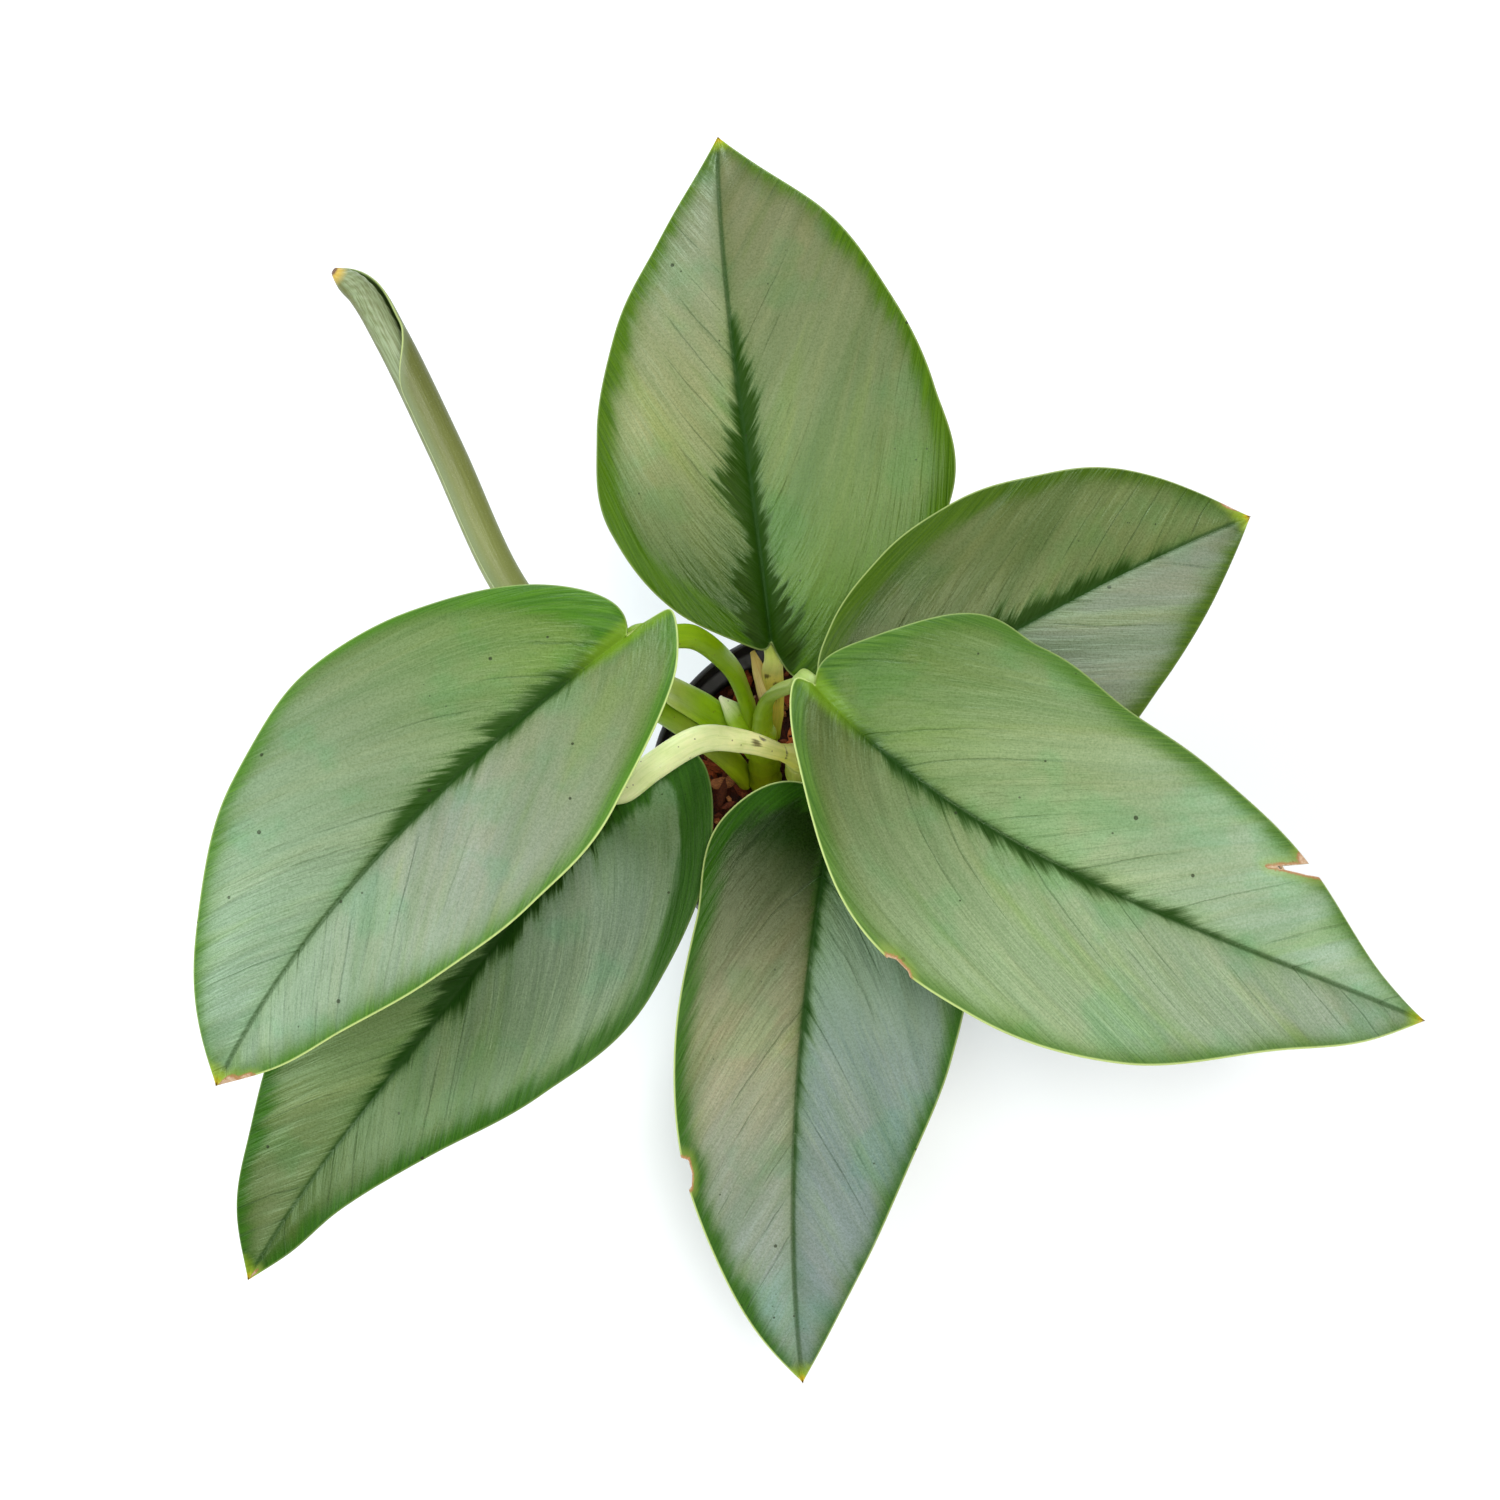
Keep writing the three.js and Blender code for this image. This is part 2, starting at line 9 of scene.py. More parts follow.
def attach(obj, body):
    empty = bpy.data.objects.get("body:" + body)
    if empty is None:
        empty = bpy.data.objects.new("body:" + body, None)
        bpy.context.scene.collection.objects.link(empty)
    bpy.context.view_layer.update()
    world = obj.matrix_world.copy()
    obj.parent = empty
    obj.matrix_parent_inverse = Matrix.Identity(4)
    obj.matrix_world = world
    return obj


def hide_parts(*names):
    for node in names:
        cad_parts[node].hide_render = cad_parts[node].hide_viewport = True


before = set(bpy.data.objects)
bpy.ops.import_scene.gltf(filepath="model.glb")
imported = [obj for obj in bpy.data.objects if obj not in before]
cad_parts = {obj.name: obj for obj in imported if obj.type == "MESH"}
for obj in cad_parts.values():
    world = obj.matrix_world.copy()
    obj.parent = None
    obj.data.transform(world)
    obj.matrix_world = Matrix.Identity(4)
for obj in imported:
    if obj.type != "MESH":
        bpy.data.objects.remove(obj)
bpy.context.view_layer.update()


# The nursery pot. Thin black polypropylene, moulded in one shot: a tapered wall, a step out to a
# stiff rim, and a flat floor with drain holes. Nothing is fixed to it, it stands on its foot.
pot_height = 80
rim_radius = 45
rim_depth = 9
foot_radius = 32.5
shoulder_radius = 42
shoulder = pot_height - rim_depth
pot_wall = 1.5
pot_floor = 2
pot_bevel = 1.2
pot_round = 0.7
pot_sides = 192
drain_circle = 21
drain_radius = 3.5
drain_count = 5
drain_sides = 40


def make_piece(name, points, faces, values=None):
    """A smooth piece from points in millimetres, with the values that its finish reads."""
    mesh = bpy.data.meshes.new(name)
    mesh.from_pydata((np.asarray(points, float) / 1000).tolist(), [], faces)
    for key, rows in (values or {}).items():
        rows = np.asarray(rows, np.float32)
        kind, field = {1: ("FLOAT", "value"), 3: ("FLOAT_VECTOR", "vector"), 4: ("FLOAT_COLOR", "color")}[
            1 if rows.ndim == 1 else rows.shape[1]
        ]
        mesh.attributes.new(key, kind, "POINT").data.foreach_set(field, rows.ravel())
    tidy = bmesh.new()
    tidy.from_mesh(mesh)
    bmesh.ops.remove_doubles(tidy, verts=tidy.verts, dist=2e-6)
    bmesh.ops.dissolve_degenerate(tidy, edges=tidy.edges, dist=1e-7)
    tidy.to_mesh(mesh)
    tidy.free()
    mesh.shade_smooth()
    piece = bpy.data.objects.new(name, mesh)
    bpy.context.scene.collection.objects.link(piece)
    return piece


def settle(piece, material, slot, *nodes):
    """The piece gets its finish, rides with the plant and stands for its solids."""
    piece.data.materials.append(material)
    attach(piece, "root")
    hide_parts(*nodes)


def shade(red, green, blue):
    """A colour as it is seen, from 0 to 255, as light for a shader."""
    seen = [c / 255 for c in (red, green, blue)]
    return [c / 12.92 if c <= 0.04045 else ((c + 0.055) / 1.055) ** 2.4 for c in seen] + [1]


def new_finish(name):
    """A new finish and its surface shader. The node helpers work on its tree until the next one."""
    global tree
    material = bpy.data.materials.new(name)
    material.use_nodes = True
    tree = material.node_tree
    return material, tree.nodes["Principled BSDF"]


def plug(node, inputs):
    """Each input, by name or number, is linked to another node or set to a plain value."""
    for key, value in inputs.items():
        if isinstance(value, bpy.types.NodeSocket):
            tree.links.new(value, node.inputs[key])
        else:
            node.inputs[key].default_value = value


def put(kind, inputs=None, **settings):
    """The outputs of a new shader node, with its settings and its inputs."""
    node = tree.nodes.new("ShaderNode" + kind)
    for key, value in settings.items():
        setattr(node, key, value)
    plug(node, inputs or {})
    return node.outputs


def sums(how, a, b):
    """Two values added, subtracted, compared and so on."""
    return put("Math", {0: a, 1: b}, operation=how)[0]


def product(a, b):
    return sums("MULTIPLY", a, b)


def tinted(share, a, b, how="MIX"):
    """Colour b laid over colour a by a share."""
    return put("Mix", {0: share, 6: a, 7: b}, data_type="RGBA", blend_type=how)[2]


def rises(value, low, high, least=0.0, most=1.0):
    """A soft step from least to most as the value goes from low to high."""
    ends = {"Value": value, "From Min": low, "From Max": high, "To Min": least, "To Max": most}
    return put("MapRange", ends, interpolation_type="SMOOTHSTEP")[0]


def painted(colour, *coats):
    """The colour under coats of paint: each is a value, the step of its share, and a shade."""
    for value, step, over in coats:
        colour = tinted(rises(value, *step), colour, shade(*over))
    return colour


def place_in_mm():
    place = put("TexCoord")["Object"]
    return put("VectorMath", {0: place, "Scale": 1000}, operation="SCALE")[0]


def grain(place, per_mm, detail=2.0, rough=0.5):
    """Cloudy grain, from 0 to 1, with its fineness along each axis of the place."""
    scaled = put("VectorMath", {0: place, 1: per_mm}, operation="MULTIPLY")[0]
    inputs = {"Vector": scaled, "Scale": 1, "Detail": detail, "Roughness": rough}
    return put("TexNoise", inputs)[0]


def relief(height, depth, strength=1.0):
    """Low relief, with its depth in metres."""
    return put("Bump", {"Height": height, "Distance": depth, "Strength": strength})[0]


def rounded(corners):
    """A profile with each corner taken off in an arc: each corner is radius, height and size."""
    line = []
    for i, (r, z, size) in enumerate(corners):
        here = np.array([r, z], float)
        if not size:
            line.append(here)
            continue
        before = np.array(corners[i - 1][:2]) - here
        after = np.array(corners[i + 1][:2]) - here
        start = here + size * before / np.linalg.norm(before)
        end = here + size * after / np.linalg.norm(after)
        for t in np.linspace(0, 1, 6):
            line.append((1 - t) ** 2 * start + 2 * t * (1 - t) * here + t * t * end)
    return np.array(line)


def ring_faces(rings, sides):
    """The faces between rings of points that follow one another."""
    faces = []
    for a in range(0, (rings - 1) * sides, sides):
        for j in range(sides):
            k = (j + 1) % sides
            faces.append([a + j, a + k, a + sides + k, a + sides + j])
    return faces


def turned(profile, sides):
    """A closed body about the pot's axis, from a profile that starts and ends on it."""
    angles = np.arange(sides) * 2 * math.pi / sides
    points = [[r * math.cos(a), r * math.sin(a), z] for r, z in profile for a in angles]
    return points, ring_faces(len(profile), sides)


# from the middle of the foot out, up the wall and over the rim, and down inside to the floor
pot_profile = rounded([
    (0, 0, 0), (8, 0, 0), (foot_radius - pot_bevel, 0, 0.5), (foot_radius, pot_bevel, 0.5),
    (33.2, 6.4, 0.3), (33.0, 6.9, 0.3), (40.6, 60.6, 0), (shoulder_radius, shoulder, 0.8),
    (rim_radius - 0.3, shoulder + pot_bevel, 0.7), (rim_radius, pot_height - 3, 0.8),
    (rim_radius, pot_height - pot_round, 0.4), (rim_radius - pot_round, pot_height, 0.4),
    (rim_radius - pot_wall, pot_height, 0.5), (rim_radius - pot_wall, shoulder + 3, 0.8),
    (shoulder_radius - pot_wall, shoulder, 0.9), (foot_radius - pot_wall, pot_floor, 1), (0, pot_floor, 0),
])
pot_piece = make_piece("nursery_pot", *turned(pot_profile, pot_sides))
for i in range(drain_count):
    turn = i * 2 * math.pi / drain_count
    x, y = drain_circle * math.cos(turn), drain_circle * math.sin(turn)
    bpy.ops.mesh.primitive_cylinder_add(
        vertices=drain_sides, radius=drain_radius / 1000, depth=0.008, location=(x / 1000, y / 1000, 0)
    )
    drill = bpy.context.object
    hole = pot_piece.modifiers.new("hole", "BOOLEAN")
    hole.object = drill
    hole.operation = "DIFFERENCE"
    seen_now = bpy.context.evaluated_depsgraph_get()
    drilled = bpy.data.meshes.new_from_object(pot_piece.evaluated_get(seen_now))
    pot_piece.modifiers.clear()
    pot_piece.data = drilled
    bpy.data.objects.remove(drill)

# Moulded black plastic: fine die grain, a slight sheen, and dust and scuffs that lighten it.
pot_finish, shader = new_finish("black_polypropylene")
place = place_in_mm()
scuffs = grain(place, (0.5, 0.5, 0.06), 6, 0.65)
dust = rises(grain(place, (0.12, 0.12, 0.05), 6, 0.7), 0.45, 0.8)
colour = painted(shade(22, 21, 21), (scuffs, (0.55, 0.85, 0, 0.5), (54, 52, 49)))
colour = tinted(product(dust, 0.07), colour, shade(112, 102, 90))
plug(shader, {
    "Base Color": colour, "Roughness": rises(scuffs, 0.3, 0.8, 0.38, 0.62),
    "Normal": relief(grain(place, (3, 3, 3), 3), 0.00006, 0.6),
})
settle(pot_piece, pot_finish, "pot", "pot")


# The potting mix. Damp peat pressed into the pot to below its rim, with chips of pine bark, crumbs
# and some pale grit lying on it. The stems stand in it.
soil_height = 72
soil_bump = 1.1
soil_wave = 0.3
soil_ripple = 0.5
soil_fall = 1.5
soil_crumb = 3.2
soil_rough = 0.75
soil_gap = 0.3
soil_sides = 200
soil_rings = 80
soil_walls = (66, 40)
# where each stem and the rolled leaf's stalk goes in: x, y and the reach to keep clear
stem_feet = [(-14.7, 2.4, 4.6), (-2.5, 1, 4.9), (-21.3, 3, 3)]
lump_clear = 1.8
chip_count = 95
crumb_count = 900
grit_count = 34


def soil_level(x, y):
    """Height of the mix: the solid's own bumps, with finer ones on them."""
    reach = np.hypot(x, y) / 40
    bumps = math.sin(soil_wave * x + 1) * math.cos(soil_wave * y) + math.sin(soil_ripple * (y - x)) / 2
    fine = noise.fractal(Vector((x / soil_crumb, y / soil_crumb, 0)), 0.9, 2.1, 4)
    return soil_height - soil_fall * reach**4 + soil_bump * bumps + soil_rough * fine


def wall_inside(z):
    """The reach of the mix inside the pot's wall at a height."""
    share = (z - pot_floor) / (shoulder - pot_floor)
    return foot_radius + (shoulder_radius - foot_radius) * share - pot_wall - soil_gap


soil_edge = wall_inside(soil_height - soil_fall - 2 * soil_bump) - 0.2
soil_base = pot_floor + soil_gap
circle = [(math.cos(a), math.sin(a)) for a in np.arange(soil_sides) * 2 * math.pi / soil_sides]
points = []
for reach in np.linspace(0, soil_edge, soil_rings + 1):
    points += [[reach * c, reach * s, soil_level(reach * c, reach * s)] for c, s in circle]
for z in (*soil_walls, soil_base):
    points += [[wall_inside(z) * c, wall_inside(z) * s, z] for c, s in circle]
points += [[0, 0, soil_base]] * soil_sides
faces = [[a, d, c, b] for a, b, c, d in ring_faces(soil_rings + 5, soil_sides)]
peat_piece = make_piece("peat_bed", points, faces)

# Damp peat: nearly black, with rusty fibres and crumbs of every size.
peat_finish, shader = new_finish("damp_peat")
place = place_in_mm()
clods = grain(place, (0.7, 0.7, 0.7), 6, 0.7)
fibres = grain(place, (2.6, 0.7, 1.2), 4, 0.6)
# The peat's browns are painted lighter than its own: painted light that makes up for the shade over the
# mix.
colour = painted(
    shade(38, 12, 5), (clods, (0.4, 0.75), (82, 34, 17)), (fibres, (0.62, 0.8, 0, 0.7), (104, 56, 38))
)
plug(shader, {
    "Base Color": colour, "Roughness": rises(clods, 0.3, 0.7, 0.5, 0.95), "Specular IOR Level": 0.12,
    "Normal": relief(sums("ADD", clods, fibres), 0.0009),
})
settle(peat_piece, peat_finish, "soil", "soil")

draw = np.random.default_rng(7)


def ball(subdivisions):
    """The points and the faces of a ball 1 in radius."""
    built = bmesh.new()
    bmesh.ops.create_icosphere(built, subdivisions=subdivisions, radius=1)
    points = np.array([v.co for v in built.verts])
    faces = np.array([[v.index for v in f.verts] for f in built.faces])
    built.free()
    return points, faces


chip_points, chip_faces = ball(2)
crumb_points, crumb_faces = ball(1)
# The bark and crumb browns are painted lighter than their own: painted light that makes up for the shade
# over the mix.
bark_tones = [(140, 62, 28), (104, 42, 18), (190, 100, 48), (78, 34, 14), (150, 92, 54)]
crumb_tones = [(50, 19, 8), (92, 40, 18), (134, 68, 36), (32, 13, 6), (170, 108, 64)]
grit_tones = [(196, 170, 138), (168, 138, 104), (214, 200, 176), (150, 116, 84)]
# what shows between the stalks: bark and grit at their own places
chosen = [
    (-1.5, 4.5, 3.4, 1.6, 1.2, (176, 92, 46)), (-21.5, -6.0, 5.5, 2.2, 1.8, (178, 128, 98)),
    (-19.0, -9.5, 4.6, 2.4, 1.6, (120, 60, 38)), (-14.0, -9.0, 2.6, 1.8, 1.4, (206, 168, 132)),
    (-24.5, -2.5, 5.0, 2.0, 1.6, (110, 52, 34)), (-17.0, 16.0, 4.0, 1.8, 1.4, (112, 56, 40)),
    (-22.0, 14.0, 3.2, 1.6, 1.2, (78, 34, 24)), (-11.0, -12.0, 3.0, 1.7, 1.2, (150, 96, 66)),
]


def on_soil():
    """A free place on the mix, clear of the stems and the pot."""
    while True:
        x, y = draw.uniform(-41, 41, 2)
        clear = all(math.hypot(x - fx, y - fy) > reach for fx, fy, reach in stem_feet)
        if math.hypot(x, y) < soil_edge - lump_clear and clear:
            return x, y


def lump(x, y, size, rough, base):
    """One lump: the ball's points squashed to size, roughened, turned and laid on the mix."""
    place = base * (1 + rough * draw.uniform(-1, 1, (len(base), 1))) * size
    turn = draw.uniform(0, 2 * math.pi)
    lean = draw.normal(0, 0.22, 2)
    c, s = math.cos(turn), math.sin(turn)
    px, py = place[:, 0] * c - place[:, 1] * s, place[:, 0] * s + place[:, 1] * c
    pz = place[:, 2] + lean[0] * px + lean[1] * py
    return np.stack([px + x, py + y, pz + soil_level(x, y) + size[2] * 0.35], 1)


lumps, lump_faces, lump_tones = [], [], []


def add_lump(points, faces, tone):
    """The lump joins the others, with one brown for all its points."""
    start = sum(len(laid) for laid in lumps)
    lumps.append(points)
    lump_faces.extend((faces + start).tolist())
    lump_tones.append(np.tile(shade(*tone), (len(points), 1)))


for x, y, long, wide, deep, tone in chosen:
    add_lump(lump(x, y, np.array([long, wide, deep]) / 2, 0.16, chip_points), chip_faces, tone)
for _ in range(chip_count):
    size = np.array([draw.uniform(2.4, 5.4), draw.uniform(1.2, 2.4), draw.uniform(0.6, 1.3)])
    tone = bark_tones[draw.integers(len(bark_tones))]
    add_lump(lump(*on_soil(), size, 0.15, chip_points), chip_faces, tone)
for _ in range(crumb_count):
    size = draw.uniform(0.4, 1.25) * draw.uniform(0.6, 1.2, 3)
    tone = crumb_tones[draw.integers(len(crumb_tones))]
    add_lump(lump(*on_soil(), size, 0.3, crumb_points), crumb_faces, tone)
for _ in range(grit_count):
    size = draw.uniform(0.5, 1.3) * draw.uniform(0.7, 1.1, 3)
    tone = grit_tones[draw.integers(len(grit_tones))]
    add_lump(lump(*on_soil(), size, 0.2, chip_points), chip_faces, tone)
bark_piece = make_piece("bark_and_crumbs", np.vstack(lumps), lump_faces, {"tone": np.vstack(lump_tones)})
for face in bark_piece.data.polygons:
    face.use_smooth = False


def surface_value(key, output="Fac"):
    """A value that the piece carries on its points."""
    return put("Attribute", attribute_name=key)[output]


# Bark, crumbs and grit: each lump in its own brown, with darker pores and a dry, dusty face.
bark_finish, shader = new_finish("bark_and_grit")
layers = grain(place_in_mm(), (1.1, 3.4, 3.4), 5, 0.7)
colour = painted(surface_value("tone", "Color"), (layers, (0.3, 0.62, 0.75, 0), (22, 12, 9)))
plug(shader, {
    "Base Color": colour, "Roughness": 0.82, "Specular IOR Level": 0.15, "Normal": relief(layers, 0.0006),
})
bark_piece.data.materials.append(bark_finish)
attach(bark_piece, "root")


# The stems, the sheaths and the bud. Two short fleshy stems stand 10 mm deep in the mix, a green
# sheath and a dry one are left on them from older leaves, and a new bud shows beside them.
stalk_sides = 28
stalk_steps = 14
stalk_uneven = 0.025
knot_length = 1.5
rib_count = 9
end_round = 0.22
# stem_green, stem_olive and sheath_green are painted lighter than the stalks' own greens: painted light
# that makes up for the shade of the leaves over the crown.
stem_green = shade(148, 170, 16)
stem_olive = shade(138, 152, 12)
stem_dark = shade(108, 110, 20)
sheath_green = shade(150, 190, 18)
sheath_pale = shade(206, 216, 150)
# dry_tan and dry_brown are painted lighter than the dry sheath's own colours: painted light that makes up
# for the shade of the leaves over the crown.
dry_tan = shade(255, 236, 160)
dry_brown = shade(222, 172, 92)


def smooth_line(points, per_span):
    """Points along the same centripetal curve as the part's stalks, with the values beside them."""
    points = np.asarray(points, float)
    joined = np.vstack([2 * points[0] - points[1], points, 2 * points[-1] - points[-2]])
    line = []
    for i in range(len(points) - 1):
        a, b, c, d = joined[i:i + 4, :3]
        before, along, after = (np.linalg.norm(q - p) ** 0.5 for p, q in ((a, b), (b, c), (c, d)))
        leave = ((b - a) / before - (c - a) / (before + along) + (c - b) / along) * along
        arrive = ((c - b) / along - (d - b) / (along + after) + (d - c) / after) * along
        for t in np.arange(per_span) / per_span:
            place = b + leave * t + (3 * (c - b) - 2 * leave - arrive) * t**2
            place = place + (leave + arrive - 2 * (c - b)) * t**3
            smooth = joined[i + 1, 3:] + (joined[i + 2, 3:] - joined[i + 1, 3:]) * t
            line.append(np.concatenate([place, smooth]))
    line.append(points[-1])
    return np.array(line)


def between(at, stations, rows):
    """Rows of values read off at places between their stations."""
    return np.stack([np.interp(at, stations, side) for side in np.transpose(rows)], -1)


def unit(rows):
    """Each row made 1 long."""
    return rows / np.linalg.norm(rows, axis=1)[:, None]


def make_stalk(name, path, tones, depth=0.8, channel=0.0, knots=(), ribs=0.0, seed=0.0, scars=()):
    """A fleshy stalk. Its path holds x, y, z and width; channel is the share of its depth that a
    furrow on its upper side takes. Knots are places on its length where it swells, by how much, and
    scars are places on its length and round it, with half their length and half their width."""
    line = smooth_line(path, stalk_steps)
    centre, width = line[:, :3], line[:, 3]
    window = np.hanning(9) / np.hanning(9).sum()
    width = np.convolve(np.pad(width, 4, mode="edge"), window, mode="valid")
    along = unit(np.gradient(centre, axis=0))
    run = path[-1][0] - path[0][0], path[-1][1] - path[0][1]
    across = np.array([-run[1], run[0], 0]) / math.hypot(*run)
    side = unit(across - along * (along @ across)[:, None])
    up = np.cross(along, side)
    steps = np.concatenate([[0], np.cumsum(np.linalg.norm(np.diff(centre, axis=0), axis=1))])
    share = steps / steps[-1]
    swell = np.ones(len(share))
    for place, amount in knots:
        swell += amount * np.exp(-((((share - place) * steps[-1]) / knot_length) ** 2))
    angles = np.arange(stalk_sides) * 2 * math.pi / stalk_sides
    points, values = [], {"length": [], "round": [], "tone": [], "scar": []}
    tone_at = between(share, np.linspace(0, 1, len(tones)), tones)
    for i in range(len(line)):
        fade = min(1.0, share[i] * 8, (1 - share[i]) * 8)
        for a in angles:
            furrow = 1 - channel * fade * max(0.0, math.sin(a)) ** 3
            at = Vector((steps[i] / 9, 1.4 * math.cos(a) + seed, math.sin(a)))
            uneven = 1 + stalk_uneven * noise.noise(at) + ribs * math.cos(rib_count * a)
            out = width[i] / 2 * swell[i] * uneven
            offset = side[i] * out * math.cos(a) + up[i] * out * depth * furrow * math.sin(a)
            points.append(centre[i] + offset)
            values["length"].append(steps[i])
            values["round"].append([math.cos(a) * 3, math.sin(a) * 3, seed])
            near = 9.0  # clear of every scar
            for place, turn, long, wide in scars:
                away = (math.degrees(a) - turn + 180) % 360 - 180
                round_it = math.radians(away) * width[i] / 2
                near = min(near, math.hypot((share[i] - place) * steps[-1] / long, round_it / wide))
            values["scar"].append(near)
            values["tone"].append(tone_at[i])
    last = len(line) - 1
    faces = ring_faces(len(line), stalk_sides)
    for end, grow, order in ((0, -end_round, 1), (last, end_round, -1)):
        points.append(centre[end] + along[end] * width[end] * grow)
        tip = len(points) - 1
        for key in values:
            values[key].append(values[key][end * stalk_sides])
        for j in range(stalk_sides):
            pair = [end * stalk_sides + (j + 1) % stalk_sides, end * stalk_sides + j][::order]
            faces.append([tip, *pair])
    return make_piece(name, points, faces, values)


def washed(colour, *washes):
    """The colour multiplied by washes: each is a value, the step of its share, and a tint."""
    for value, step, tint in washes:
        colour = tinted(rises(value, *step), colour, (*tint, 1), "MULTIPLY")
    return colour


def along_stalk(per_mm):
    """A place that runs round the stalk and slowly along it, for lengthwise lines."""
    split = put("SeparateXYZ", {0: surface_value("round", "Vector")})
    return put("CombineXYZ", {0: split[0], 1: split[1], 2: product(surface_value("length"), per_mm)})[0]


# Fleshy stalk: smooth skin with fine lengthwise lines and a few specks.
stalk_finish, shader = new_finish("fleshy_stalk")
place = place_in_mm()
lines = grain(along_stalk(0.12), (1.5, 1.5, 1), 4, 0.6)
patches = grain(place, (0.16, 0.16, 0.16), 3, 0.55)
cells = grain(place, (4, 4, 4), 2)
specks = put("TexVoronoi", {"Vector": place, "Scale": 0.42}, feature="F1")["Distance"]
scar = sums("ADD", surface_value("scar"), product(lines, 1.6))
colour = washed(
    surface_value("tone", "Color"), (lines, (0.32, 0.6, 0.55, 0), (0.72, 0.8, 0.55)),
    (patches, (0.44, 0.66, 0, 0.8), (1.14, 1.08, 1.15)),
    (patches, (0.3, 0.46, 0.7, 0), (0.84, 0.88, 0.7)), (cells, (0.56, 0.76, 0, 0.6), (1.16, 1.14, 1.25)),
)
colour = painted(
    colour, (specks, (0.05, 0.12, 0.75, 0), (110, 84, 40)), (scar, (1.2, 1.9, 0.9, 0), (92, 72, 22))
)
plug(shader, {
    "Base Color": colour, "Roughness": 0.34, "Specular IOR Level": 0.3, "Subsurface Weight": 0.12,
    "Subsurface Radius": (0.0012, 0.0018, 0.0006), "Subsurface Scale": 1,
    "Normal": relief(sums("ADD", lines, product(cells, 0.3)), 0.00022, 0.7),
})

fleshy_pieces = {
    "stem_left": make_stalk(
        "stem_left_fleshy",
        [[-14.7, 2.4, 62, 8], [-15.1, 3.4, 76, 8.2], [-15.4, 5.2, 90, 7.9], [-16, 6.1, 105, 7]],
        [stem_dark, stem_olive, stem_olive, stem_green, stem_green], 0.86,
        knots=((0.32, 0.1), (0.52, 0.08), (0.72, 0.08)), seed=3,
    ),
    "stem_right": make_stalk(
        "stem_right_fleshy",
        [[-2.5, 1, 62, 8.5], [-4.5, -0.5, 80, 8.2], [-6.5, -1, 94, 7.8], [-7.3, -1, 104.6, 7]],
        [stem_dark, stem_olive, stem_green, shade(196, 202, 96)], 0.86,
        knots=((0.35, 0.1), (0.55, 0.08), (0.78, 0.08)), seed=8,
    ),
    "sheath_green": make_stalk(
        "green_sheath",
        [[-21, 8.6, 93, 5], [-25, 10, 101, 8.2], [-29.2, 10.2, 109, 9], [-38, 9.7, 126.5, 7.4],
         [-42, 10.1, 132.5, 3]],
        [stem_green, sheath_green, sheath_green, shade(176, 196, 84), sheath_pale], 0.34, 0.9, seed=5,
    ),
    "bud": make_stalk(
        "new_bud",
        [[-17.5, 6, 92, 6.4], [-20.4, 8.6, 100, 7.6], [-23.2, 10.8, 107, 5.6], [-26.3, 12.6, 113, 0.9]],
        [stem_green, sheath_green, shade(160, 196, 40), shade(250, 252, 220)], 0.62, seed=11,
    ),
}
for node, piece in fleshy_pieces.items():
    settle(piece, stalk_finish, "stalk", node)

# Dry sheath: tan papery skin with brown lengthwise veins and frayed, darker ends.
dry_finish, shader = new_finish("dry_sheath_skin")
lines = grain(along_stalk(0.06), (3.5, 3.5, 1), 4, 0.7)
colour = tinted(rises(lines, 0.35, 0.65, 0.6, 0), surface_value("tone", "Color"), dry_brown)
plug(shader, {"Base Color": colour, "Roughness": 0.75, "Normal": relief(lines, 0.0004)})
dry_sheath = make_stalk(
    "dry_sheath",
    [[-14.2, 12.6, 102, 3], [-15.5, 15.2, 111, 4], [-16.9, 17.6, 118.5, 3.4], [-18.4, 19.8, 125.5, 1.2]],
    [dry_brown, dry_tan, dry_tan, shade(226, 200, 122)], depth=0.26, channel=0.9, ribs=0.03, seed=2,
)
settle(dry_sheath, dry_finish, "dry_sheath", "sheath_dry")


